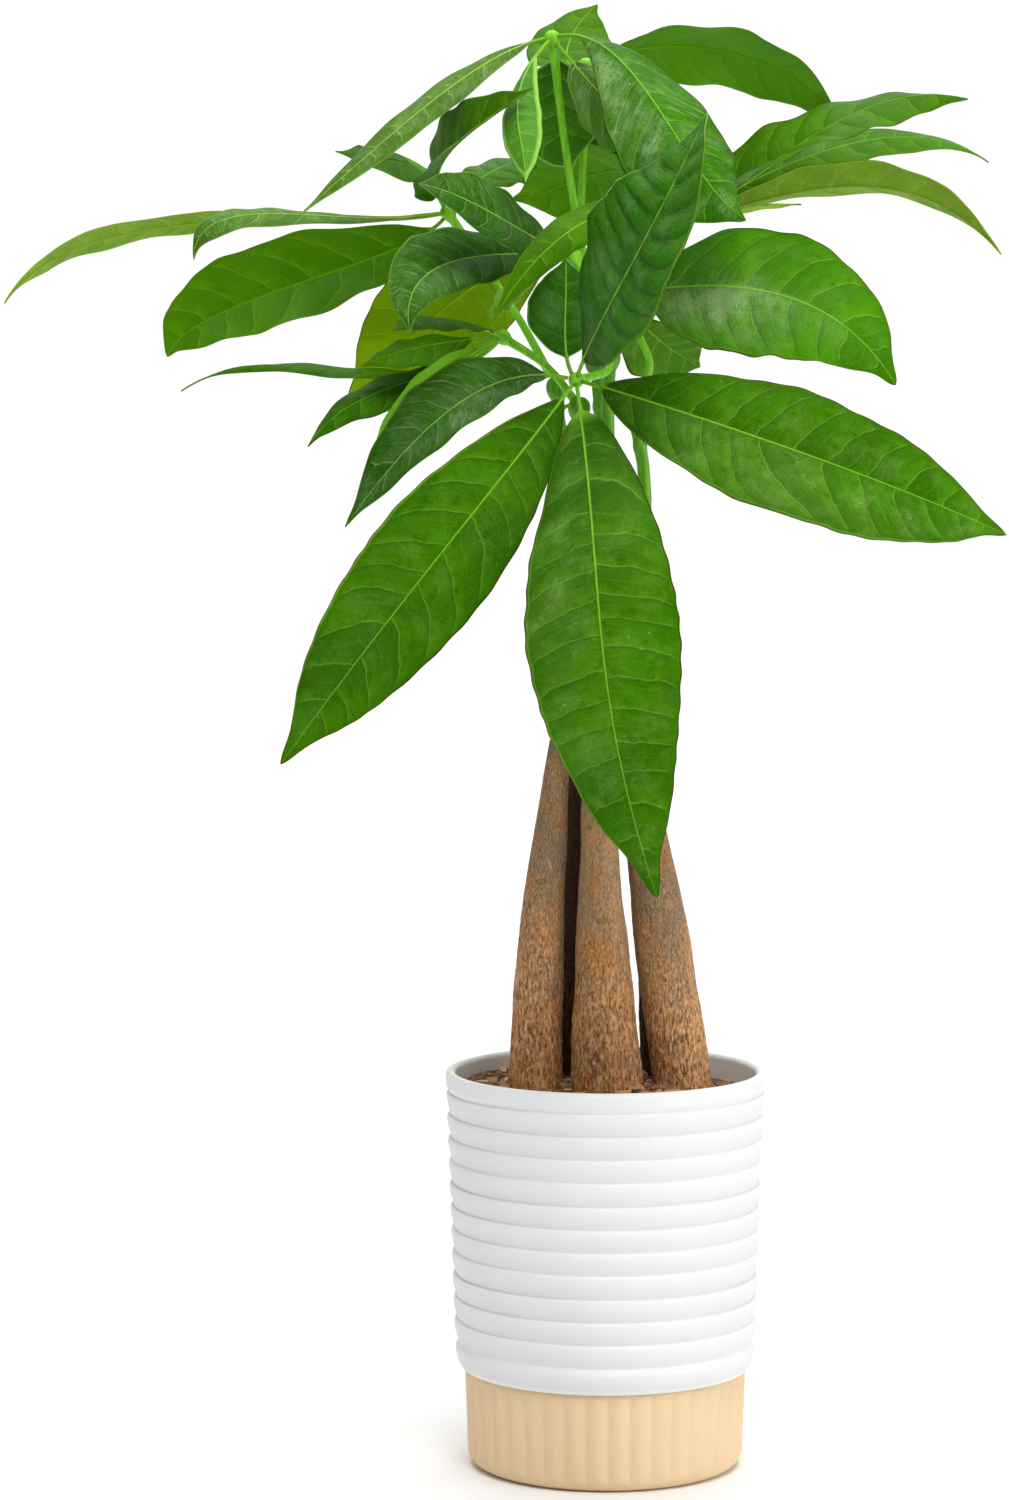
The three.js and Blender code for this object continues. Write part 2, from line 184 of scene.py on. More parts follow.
class Recipe:
    # one node material: `node` makes any node, the other methods are short names for the usual ones

    def __init__(self, name):
        self.material = bpy.data.materials.new(name)
        self.material.use_nodes = True
        self.tree = self.material.node_tree
        self.tree.nodes.clear()

    def node(self, kind, settings=(), inputs=(), out=0):
        made = self.tree.nodes.new(kind)
        for key, value in dict(settings).items():
            setattr(made, key, value)
        for key, value in dict(inputs).items():
            if isinstance(value, Number):
                self.tree.links.new(value.socket, made.inputs[key])
            elif isinstance(value, bpy.types.NodeSocket):
                self.tree.links.new(value, made.inputs[key])
            else:
                made.inputs[key].default_value = value
        return made.outputs[out] if made.outputs else made

    def math(self, operation, *values):
        return Number(self, self.node("ShaderNodeMath", {"operation": operation}, dict(enumerate(values))))

    def attribute(self, name):
        return Number(self, self.node("ShaderNodeAttribute", {"attribute_name": name}, out=2))

    def place(self, scale=(1, 1, 1)):
        # the place in the piece's own space, in metres times the scale
        return self.node("ShaderNodeMapping", {}, {
            "Vector": self.node("ShaderNodeTexCoord", out=3), "Scale": scale})

    def vector(self, x, y, z):
        return self.node("ShaderNodeCombineXYZ", {}, {0: x, 1: y, 2: z})

    def noise(self, vector, scale, detail=3.0, roughness=0.55):
        return Number(self, self.node("ShaderNodeTexNoise", {}, {
            "Vector": vector, "Scale": scale, "Detail": detail, "Roughness": roughness}))

    def waved(self, vector, where, scale, reach):
        # the vector plus reach * (coloured noise - 0.5)
        wave = self.node("ShaderNodeTexNoise", {}, {"Vector": where, "Scale": scale, "Detail": 1.0}, out=1)
        return self.node("ShaderNodeVectorMath", {"operation": "MULTIPLY_ADD"}, {
            0: wave, 1: (reach,) * 3, 2: vector})

    def cells(self, vector, scale, feature="F1"):
        return Number(self, self.node("ShaderNodeTexVoronoi", {"feature": feature}, {
            "Vector": vector, "Scale": scale}))

    def step(self, value, low, high, bottom=0.0, top=1.0):
        # from bottom at low to top at high, in a smooth step
        return Number(self, self.node("ShaderNodeMapRange", {"interpolation_type": "SMOOTHSTEP"}, {
            0: value, 1: low, 2: high, 3: bottom, 4: top}))

    def blend(self, factor, first, second):
        return self.node("ShaderNodeMix", {"data_type": "RGBA", "clamp_factor": True}, {
            0: factor, 6: first, 7: second}, out=2)

    def coats(self, colour, *layers):
        # coats of paint on a colour, each given as (how much it covers, its colour)
        for cover, paint in layers:
            colour = self.blend(cover, colour, paint)
        return colour

    def bump(self, height, strength, distance):
        return self.node("ShaderNodeBump", {}, {"Strength": strength, "Distance": distance, "Height": height})

    def finish(self, **inputs):
        keys = {key.replace("_", " "): value for key, value in inputs.items()}
        shader = self.node("ShaderNodeBsdfPrincipled", {}, keys)
        self.node("ShaderNodeOutputMaterial", {}, {"Surface": shader})
        return self.material


def tint(rgb):
    # a screen colour of 0 to 255 a channel as the linear colour that a shader takes
    c = np.array(rgb) / 255
    linear = np.where(c <= 0.04045, c / 12.92, ((c + 0.055) / 1.055) ** 2.4)
    return (*linear.tolist(), 1.0)


view = {"place": (-41, -1863, 450), "lookDown": 4.85, "lens": 111.2, "sees": (0.05, 60)}
camera = bpy.data.objects.new("camera", bpy.data.cameras.new("camera"))
camera.data.lens = view["lens"]
camera.data.clip_start, camera.data.clip_end = view["sees"]
camera.location = [c * mm for c in view["place"]]
camera.rotation_euler = (math.radians(90 - view["lookDown"]), 0, 0)
bpy.context.scene.collection.objects.link(camera)
bpy.context.scene.camera = camera

studio = {
    # metres and watts; the area lamps look at their aims
    "floorFront": -5.0, "floorBack": 1.6, "sweep": 1.2, "wall": 5.0, "halfWidth": 5.0,
    "paper": (0.93, 0.93, 0.93, 1), "skyStrength": 0.33,
    "lights": {
        "front": {"place": (0.15, -1.4, 2.4), "size": 1.1, "watts": 36, "aim": (0, 0, 0.25)},
        "right": {"place": (2.2, -0.9, 0.8), "size": 1.4, "watts": 19, "aim": (0, 0, 0.2)},
        "top": {"place": (0.0, 0.3, 2.3), "size": 1.4, "watts": 8, "aim": (0, 0, 0.3)},
        "wall": {"place": (0.0, 0.9, 3.4), "size": 2.4, "watts": 60, "aim": (0, 3.0, 0.2)},
    },
}


def makeStudio():
    # floor: level, then a quarter circle, then upright; the profile is carried along X
    bend = np.linspace(0, np.pi / 2, 24)
    y = np.concatenate([[studio["floorFront"]], studio["floorBack"] + studio["sweep"] * np.sin(bend)])
    z = np.concatenate([[0], studio["sweep"] * (1 - np.cos(bend))])
    y, z = np.append(y, y[-1]), np.append(z, studio["wall"])
    sides = np.array([-1, 1]) * studio["halfWidth"]
    points = np.stack(np.broadcast_arrays(sides[None, :], y[:, None], z[:, None]), -1).reshape(-1, 3)
    i = np.arange(len(y) - 1) * 2
    mesh = bpy.data.meshes.new("floor")
    mesh.from_pydata(points.tolist(), [], np.stack([i, i + 1, i + 3, i + 2], 1).tolist())
    mesh.polygons.foreach_set("use_smooth", np.ones(len(mesh.polygons), bool))
    paper = Recipe("palePaper")
    mesh.materials.append(paper.finish(Base_Color=studio["paper"], Roughness=0.9))
    floor = bpy.data.objects.new("floor", mesh)
    bpy.context.scene.collection.objects.link(floor)
    for name, lamp in studio["lights"].items():
        light = bpy.data.lights.new(name, "AREA")
        light.energy, light.size = lamp["watts"], lamp["size"]
        thing = bpy.data.objects.new(name, light)
        thing.location = lamp["place"]
        direction = np.array(lamp["aim"]) - np.array(lamp["place"])
        thing.rotation_euler = Vector(direction.tolist()).to_track_quat("-Z", "Y").to_euler()
        bpy.context.scene.collection.objects.link(thing)
    world = bpy.data.worlds.new("soft light")
    bpy.context.scene.world = world
    world.use_nodes = True
    sky = world.node_tree.nodes["Background"].inputs
    sky["Color"].default_value = (1, 1, 1, 1)
    sky["Strength"].default_value = studio["skyStrength"]
    bpy.context.scene.view_settings.view_transform = "Standard"


makeStudio()
print("studio ready")


# the pot: outer radii and heights, the cut of its ribs, and the neck that stands in the foot
potShape = {
    "rimRadius": 65.0, "top": 162.0, "wall": 4.0, "lowerRadius": 60.8, "lowerEnd": 40.0, "bottom": 40.3,
    "ribs": 12, "ribPitch": 9.3, "ribDepth": 1.45, "firstGroove": 153.6, "groove": 2.0, "crest": 0.5,
    "lipStep": 0.8, "lipReach": 3.2, "lipEase": 1.4, "curl": 4.0, "shoulder": 57.6, "neckRadius": 50.7,
    "neckFoot": 8.3, "floor": 6.0, "bowlRadius": 54.0, "bowlFoot": 47.0, "segments": 176,
    "rings": {"curl": 16, "ribs": 264, "lip": 13, "wall": 30},
}
# the matte skins of the pot and its foot: colours, how many clouds, grains and specks fit in a metre, and
# how strongly they show; the white also carries painted shade, greyer down each rib and a little on the lip
skins = {
    "matteWhiteGlaze": {
        "light": (241, 242, 242), "dark": (230, 232, 232), "speck": (190, 190, 186),
        "underRib": (150, 154, 156), "clouds": 18, "grains": 900, "specks": 70, "speckSize": 0.06,
        "speckCover": 0.12, "ribShade": 0.16, "paintedLipShade": 0.3, "grainHeight": 0.6, "bump": 0.12,
        "rough": 0.42, "roughSwing": 0.14},
    "matteTan": {
        "light": (241, 213, 172), "dark": (227, 194, 148), "speck": (196, 158, 112),
        "clouds": 22, "grains": 1100, "specks": 130, "speckSize": 0.09, "speckCover": 0.25, "ribShade": 0,
        "grainHeight": 0.7, "bump": 0.15, "rough": 0.52, "roughSwing": 0.12},
}
axisGap = 0.01  # a turned profile starts and ends this far from the axis


def lathe(profile, segments):
    # the [radius, height] profile turned about Z
    angle = -circle(segments)
    r, z = profile[:, 0, None], profile[:, 1, None]
    return np.stack(np.broadcast_arrays(r * np.cos(angle), r * np.sin(angle), z), -1)


def potOutside(z):
    # a straight taper less a cut and the curl at the foot. The cut is depth * |2p^crest - 1|^groove, where p
    # runs from 0 to 1 between two grooves; it eases out over the lip above and over the curl below
    s = SimpleNamespace(**potShape)
    taper = s.lowerRadius + (s.rimRadius - s.lowerRadius) * (z - s.lowerEnd) / (s.top - s.lowerEnd)
    p = (((s.firstGroove - z) / s.ribPitch) % 1) ** s.crest
    cut = s.ribDepth * np.abs(2 * p - 1) ** s.groove
    lip = fade(z, s.firstGroove - 0.01, s.firstGroove + s.lipReach)
    cut = np.where(z > s.firstGroove, s.lipStep * s.ribDepth * (1 - lip) ** s.lipEase, cut)
    lastGroove = s.firstGroove - (s.ribs - 1) * s.ribPitch
    below = np.clip((lastGroove - z) / (lastGroove - s.bottom), 0, 1)
    cut = np.where(z < lastGroove, s.ribDepth * (1 - fade(below, 0, 0.3)), cut)
    return taper - cut - (taper - s.shoulder) * (1 - np.sqrt(1 - below ** 2 * 0.999))


def makePot(material):
    # the profile runs up the outside, over the lip and down the inside, and is turned about Z
    s = SimpleNamespace(**potShape)
    half, neck, inner = s.wall / 2, s.neckRadius, s.neckRadius - s.wall
    floor = s.neckFoot + s.floor
    under = np.array([[axisGap, s.neckFoot], [neck - 1, s.neckFoot], [neck, s.neckFoot + 1],
                      [neck, s.bottom]])
    z = np.concatenate([
        s.bottom + (1 - np.cos(np.linspace(0, np.pi / 2, s.rings["curl"]))) * s.curl,
        np.linspace(s.bottom + s.curl + 0.3, s.top - half - 0.2, s.rings["ribs"])])
    outside = np.stack([potOutside(z), z], 1)
    a = np.linspace(0, np.pi, s.rings["lip"])
    lip = np.stack([s.rimRadius - half + half * np.cos(a), s.top - half + half * np.sin(a)], 1)
    wallZ = np.linspace(s.top - half - 1, s.bottom + 10, s.rings["wall"])
    slope = (wallZ - s.bowlFoot + 1) / (s.top - s.bowlFoot - 1)
    wall = np.stack([s.bowlRadius + slope * (s.rimRadius - s.wall - s.bowlRadius), wallZ], 1)
    inside = np.array([[s.bowlRadius, s.bowlFoot], [inner + 1, s.bottom], [inner, s.bottom - 1],
                       [inner, floor], [axisGap, floor]])
    profile = np.vstack([under, outside, lip, wall, inside])
    # how far down its rib each point lies: 0 under a groove, 1 above the next one; the finish paints shade by
    # it, and the lip takes a fixed share of that painted shade
    down = np.zeros((len(profile), 1))
    paintedLipShade = skins["matteWhiteGlaze"]["paintedLipShade"]
    ribs = np.where(z > s.firstGroove, paintedLipShade, ((s.firstGroove - z) / s.ribPitch) % 1)
    down[len(under):len(under) + len(z), 0] = ribs
    data = {"down": np.repeat(down, s.segments, axis=1)}
    place(ringMesh("pot_shell", lathe(profile, s.segments), [material], data), "pot")


def skinFinish(name):
    # matte colour in faint clouds with a few specks; painted shade makes each rib greyer towards its lower
    # side, which faces away from the light above
    m, k = Recipe(name), SimpleNamespace(**skins[name])
    where = m.place()
    cloud, grain = m.noise(where, k.clouds, 4), m.noise(where, k.grains, 3)
    speck = m.step(m.cells(where, k.specks), 0.0, k.speckSize, 1.0, 0.0)
    colour = m.blend(cloud, tint(k.dark), tint(k.light))
    if k.ribShade:
        # painted shade: greyer towards the lower side of each rib and on the lip
        colour = m.blend(m.attribute("down") * k.ribShade, colour, tint(k.underRib))
    colour = m.blend(speck * k.speckCover, colour, tint(k.speck))
    normal = m.bump(grain * k.grainHeight + cloud, k.bump, 0.0006)
    return m.finish(Base_Color=colour, Roughness=k.rough + cloud * k.roughSwing, Normal=normal)


footShape = {
    "height": 40.0, "radius": 57.2, "bottomRadius": 56.0, "fillet": 7.0, "chamfer": 0.8, "pocket": 51.0,
    "floor": 8.0, "flutes": 40, "depth": 1.0, "reed": 1.7, "fluteStart": 2.0, "fluteEase": 2.4, "around": 640,
}


def makeFoot(material):
    # radius = wall less depth * |2p - 1|^reed round the flutes, fading out over the bottom fillet and halving
    # just under the pot
    s = SimpleNamespace(**footShape)
    a = np.linspace(0, np.pi / 2, 12)
    fillet = np.stack([s.bottomRadius - s.fillet * (1 - np.sin(a)), s.fillet * (1 - np.cos(a))], 1)
    z = np.linspace(s.fillet + 1, s.height - s.chamfer, 26)
    slope = (z - s.fillet) / (s.height - s.fillet)
    wall = np.stack([s.bottomRadius + slope * (s.radius - s.bottomRadius), z], 1)
    edge = np.array([[s.radius - s.chamfer, s.height], [s.pocket, s.height],
                     [s.pocket, s.floor], [axisGap, s.floor]])
    rings = lathe(np.vstack([[axisGap, 0], fillet, wall, edge]), s.around)
    reach = np.concatenate([
        [0], fade(fillet[:, 1], s.fluteStart, s.fillet),
        1 - 0.5 * fade(z, s.height - s.fluteEase, s.height - s.chamfer), np.zeros(len(edge))])
    p = (np.arange(s.around) * s.flutes / s.around) % 1
    cut = s.depth * reach[:, None] * np.abs(2 * p - 1)[None, :] ** s.reed
    rings[..., :2] -= unit(rings[..., :2]) * cut[..., None]
    place(ringMesh("pot_foot_fluted", rings, [material]), "pot_foot")


makePot(skinFinish("matteWhiteGlaze"))
makeFoot(skinFinish("matteTan"))
print("pot and foot made")


soilShape = {
    "edge": 152.0, "crown": 157.0, "wall": 60.3, "mound": 24.0, "neck": 46.4, "floor": 14.6,
    "neckTop": 39.7, "bowlRadius": 53.4, "bowlFoot": 46.6, "rings": 60, "around": 150,
    "clods": 1.6, "clodSize": 7, "crumbSize": 2.6, "heap": {"height": 4.0, "place": (-44, 28), "width": 20},
    "chips": {"count": 620, "length": (2.2, 7.5), "width": (0.35, 0.8), "height": (0.18, 0.4),
              "corners": (0.6, 1.25), "tilt": 0.4, "inset": 5, "seed": 11},
}
earth = {"dark": (66, 49, 36), "light": (150, 116, 86)}
chipTones = {"dark": (110, 78, 54), "light": (222, 170, 124), "grain": (52, 34, 24)}


def soilHeight(x, y):
    # from the edge up to the crown inside the mound radius, a heap at the left, and lumps of clods and crumbs
    s = SimpleNamespace(**soilShape)
    r = np.hypot(x, y)
    rise = s.edge + (s.crown - s.edge) * (1 - fade(r, s.mound, s.wall))
    heapX, heapY = s.heap["place"]
    rise = rise + s.heap["height"] * bell(np.hypot(x - heapX, y - heapY), s.heap["width"])
    clods = lumps(x / s.clodSize + 20, y / s.clodSize + 20, 3)
    crumbs = lumps(x / s.crumbSize + 30, y / s.crumbSize + 30, 4)
    return rise + s.clods * (clods * 0.6 + crumbs * 0.4 - 0.4) * fade(s.wall - r, 0, 5)


def makeSoil(material):
    # a plug that fills the pot's neck and bowl, and the uneven ground on top of it
    s = SimpleNamespace(**soilShape)
    r = np.linspace(s.wall, 0.05, s.rings)[:, None]
    angle = -circle(s.around)
    x, y = r * np.cos(angle), r * np.sin(angle)
    profile = np.array([[0.05, s.floor], [s.neck, s.floor], [s.neck, s.neckTop],
                        [s.bowlRadius, s.bowlFoot], [s.wall - 0.2, s.edge - 2]])
    rings = np.concatenate([lathe(profile, s.around), np.stack([x, y, soilHeight(x, y)], -1)])
    place(ringMesh("soil_bed", rings, [material]), "soil")


def turned(points, angle, i, j):
    # each chip's points turned by its angle in the plane of the axes i and j
    c, d = np.cos(angle)[:, None], np.sin(angle)[:, None]
    made = points.copy()
    made[..., i] = points[..., i] * c - points[..., j] * d
    made[..., j] = points[..., i] * d + points[..., j] * c
    return made


def makeChips(material):
    # bark chips: boxes with uneven corners, tilted, turned and strewn on the soil
    s, k = SimpleNamespace(**soilShape), SimpleNamespace(**soilShape["chips"])
    rng = np.random.default_rng(k.seed)
    n = k.count
    corner = np.array([[-1, -1, -1], [1, -1, -1], [1, 1, -1], [-1, 1, -1], [-1, -1, 1], [1, -1, 1],
                       [1, 1, 1], [-1, 1, 1]], float) / 2
    face = np.array([[0, 3, 2, 1], [4, 5, 6, 7], [0, 1, 5, 4], [1, 2, 6, 5], [2, 3, 7, 6], [3, 0, 4, 7]])
    length = k.length[0] + (k.length[1] - k.length[0]) * rng.random(n) ** 2
    width, height = length * rng.uniform(*k.width, n), length * rng.uniform(*k.height, n)
    size = np.stack([length, width, height], 1)
    chip = corner[None] * size[:, None] * rng.uniform(*k.corners, (n, 8, 3))
    turn, tilt = rng.uniform(0, 2 * np.pi, n), rng.normal(0, k.tilt, n)
    chip = turned(turned(chip, tilt, 1, 2), turn, 0, 1)
    radius, angle = (s.wall - k.inset) * np.sqrt(rng.random(n)), rng.uniform(0, 2 * np.pi, n)
    x, y = radius * np.cos(angle), radius * np.sin(angle)
    seat = np.stack([x, y, soilHeight(x, y) + size[:, 2] / 4], 1)
    points = (chip + seat[:, None]).reshape(-1, 3) * mm
    faces = (face[None] + 8 * np.arange(n)[:, None, None]).reshape(-1, 4)
    mesh = bpy.data.meshes.new("soil_chips")
    mesh.from_pydata(points.tolist(), [], faces.tolist())
    shade = np.repeat(rng.random(n), 8).astype(np.float32)
    mesh.attributes.new("shade", "FLOAT", "POINT").data.foreach_set("value", shade)
    mesh.materials.append(material)
    chips = bpy.data.objects.new("soil_chips", mesh)
    bpy.context.scene.collection.objects.link(chips)
    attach(chips, "root")


def earthFinish():
    m = Recipe("darkEarth")
    where = m.place()
    crumb = m.noise(where, 420, 5, 0.7)
    clod = m.cells(where, 330)
    colour = m.blend(m.step(crumb, 0.35, 0.7), tint(earth["dark"]), tint(earth["light"]))
    normal = m.bump(crumb - clod * 0.8, 0.8, 0.0012)
    return m.finish(Base_Color=colour, Roughness=0.95, Normal=normal)


def chipFinish():
    # each chip has its own shade between dark and light, with darker grain across it
    m = Recipe("barkChips")
    grain = m.noise(m.place((1, 1, 3)), 260, 4, 0.65)
    colour = m.coats(m.blend(m.attribute("shade"), tint(chipTones["dark"]), tint(chipTones["light"])),
                     (m.step(grain, 0.5, 0.75) * 0.6, tint(chipTones["grain"])))
    normal = m.bump(grain + m.noise(m.place(), 1200, 2) * 0.3, 0.6, 0.0008)
    return m.finish(Base_Color=colour, Roughness=0.85, Normal=normal)


makeSoil(earthFinish())
makeChips(chipFinish())
print("soil made")


# each trunk: [x, y, radius] at the foot, at the soil, half way up and at the top
trunkTable = {
    "left": [[-29, -7, 12], [-28.6, -7, 11.2], [-25.8, -6, 8.8], [-18.5, -3, 4.4]],
    "middle": [[1, -14, 15.6], [0.3, -13, 14.8], [-2.2, -11, 9.9], [-3.5, -9, 5.4]],
    "right": [[34, -4, 12.4], [31, -4, 12], [21.2, -3, 11.1], [10.5, -1, 5]],
    "back_left": [[-15, 21, 11.5], [-14, 20, 11], [-12, 16, 8.6], [-11, 11, 5.6]],
    "back_right": [[25, 26, 10.5], [24.5, 25, 10], [20.5, 20, 7.6], [12, 13, 5]],
}
trunkShape = {
    "foot": 104.0, "soil": 152.0, "top": 297.0, "around": 230, "rings": 270, "shoulder": 1.6, "capRings": 6,
    "lump": 0.5, "ridge": 0.3, "ridgePitch": 1.25, "ridgeLength": 4.5, "wrinkle": 0.1, "wrinkles": 70,
    "wrinkleLength": 1.7, "roughUpTo": 250, "roughFade": 70, "roughSwing": 26, "peelHeight": 0.3,
    "scarDepth": 0.25, "clearance": 0.2, "lumps": 5, "lumpLength": 18, "sway": 0.02, "swayLength": 20,
    "jitter": 0.005, "jitterLength": 3.2, "swings": 5, "swingLength": 24, "capShare": 0.4,
}
# marks on the bark: height, degrees round from the front towards the right, half width, half height, slant
scarTable = {
    "left": [[240, -14, 2.4, 1.1, 0.1], [262, 30, 1.6, 0.8, 0]],
    "middle": [[225, 2, 2.7, 1.1, 0.1], [262, -35, 1.6, 0.8, 0]],
    "right": [[256, -30, 2.0, 1.0, 0]],
    "back_left": [[245, -20, 2.0, 1.0, 0]],
    "back_right": [],
}
peelTable = {
    "left": [[166, -52, 0.8, 8, -0.25], [178, -30, 2.4, 1.2, -0.5], [247, 8, 0.8, 3, -0.5],
             [283, -20, 0.6, 1.4, 0]],
    "middle": [[184.6, 10, 0.8, 1.7, 0.4], [169, -42, 0.9, 2.2, -0.3], [213, -24, 1.6, 0.7, -0.5],
               [161, 55, 0.5, 5, 0]],
    "right": [[220, -38, 0.5, 0.9, 0], [171, 45, 0.6, 4, 0.1], [236, 20, 0.5, 1.2, 0],
              [262, -50, 1.2, 2.4, 0]],
    "back_left": [[236, -10, 0.6, 1.0, 0], [255, 20, 0.8, 1.4, 0]],
    "back_right": [[200, 10, 0.7, 1.5, 0]],
}


def marks(table, turn, up, radius):
    # 1 inside slanted ellipses on the bark, falling off as exp(-(distance / size)^4)
    total = np.zeros(np.broadcast_shapes(turn.shape, up.shape))
    for height, degrees, wide, tall, slant in table:
        across = ((turn - 0.75 - degrees / 360 + 0.5) % 1 - 0.5) * 2 * np.pi * radius - slant * (up - height)
        total = np.maximum(total, bell(np.hypot(across / wide, (up - height) / tall) ** 2, 1.0))
    return total


def trunkRings(name, seed):
    # level rings about a curve through the stations. Radius = spline + lumps + wrinkles + ridges, where a
    # ridge is the size of smooth upright noise and fades upwards; peels stand out and scars lie flat. A
    # quarter circle rounds the top
    s = SimpleNamespace(**trunkShape)
    stations = trunkTable[name]
    heights = np.array([s.foot, s.soil, (s.soil + s.top) / 2, s.top])
    z = np.concatenate([np.linspace(s.foot, s.soil - 6, 8),
                        np.linspace(s.soil - 4, s.top - s.shoulder, s.rings)])
    at = throughPoints(stations, np.interp(z, heights, np.linspace(0, 1, 4)))
    spline, up = at[:, 2, None], z[:, None]
    turn = np.linspace(0, 1, s.around, endpoint=False)[None]
    lean = s.sway * lumps(turn * 0 + up / s.swayLength, up * 0 + 5, seed)
    lean = lean + s.jitter * lumps(turn * 9, up / s.jitterLength, seed + 9, 9)
    ridges = int(2 * np.pi * stations[1][2] / s.ridgePitch)
    ridge = lumps((turn + lean) * ridges, up / s.ridgeLength, seed + 2, ridges)
    swing = s.roughSwing * lumps(turn * s.swings, up / s.swingLength, seed + 5, s.swings)
    rough = fade(s.roughUpTo - up + swing, 0, s.roughFade)
    relief = s.lump * lumps((turn + lean) * s.lumps, up / s.lumpLength, seed + 1, s.lumps)
    wrinkle = lumps(turn * s.wrinkles, up / s.wrinkleLength, seed + 4, s.wrinkles)
    relief = relief + s.wrinkle * wrinkle * (0.4 + 0.6 * rough) + s.ridge * ridge * (0.12 + 0.88 * rough)
    scar, peel = (marks(table[name], turn, up, spline) for table in (scarTable, peelTable))
    relief = relief * (1 - scar) + s.peelHeight * peel - s.scarDepth * bell(scar - 0.5, 0.2)
    relief = relief * fade(s.top - up, 0, 8) * fade(up, s.soil - 8, s.soil - 2)
    centres = np.stack([at[:, 0], at[:, 1], z], 1)
    rings = sweep(centres, spline + relief - s.clearance, s.around, level=True)
    a = np.linspace(0, np.pi / 2, s.capRings)[1:, None, None]
    last, rise = rings[-1] - centres[-1], np.array([0, 0, s.shoulder])
    shrink = 1 - (1 - np.cos(a)) * s.shoulder / np.linalg.norm(last, axis=-1)[None, :, None]
    cap = centres[-1] + last[None] * shrink + rise * np.sin(a)
    rings = np.concatenate([rings, cap, (centres[-1] + last * s.capShare + rise)[None]])
    data = {"ridge": ridge, "rough": rough, "scar": scar, "peel": peel, "height": up + 0 * ridge}
    return rings, {key: np.vstack([value, *[value[-1:]] * s.capRings]) for key, value in data.items()}


# bark colours: low on the trunk, high on it, its grey patches, and its hollows
barkTones = {
    "left": [(204, 147, 93), (170, 138, 100), (154, 130, 108), (84, 52, 30)],
    "middle": [(190, 137, 86), (186, 150, 110), (162, 136, 112), (86, 54, 32)],
    "right": [(210, 156, 104), (158, 130, 96), (150, 128, 106), (82, 52, 30)],
    "back_left": [(204, 136, 86), (190, 130, 86), (176, 132, 100), (80, 50, 30)],
    "back_right": [(214, 144, 92), (198, 138, 92), (184, 138, 106), (86, 54, 34)],
}
# colours that the trunks share; `shade` is painted shade that darkens the ones behind, which stand
# between the others in their shadow
barkShared = {
    "orange": (206, 130, 62), "straw": (216, 158, 96), "flake": (222, 170, 114), "torn": (222, 170, 116),
    "scarRim": (112, 74, 56), "scar": (150, 144, 78), "greenTop": (108, 124, 84), "shade": 0.4,
}


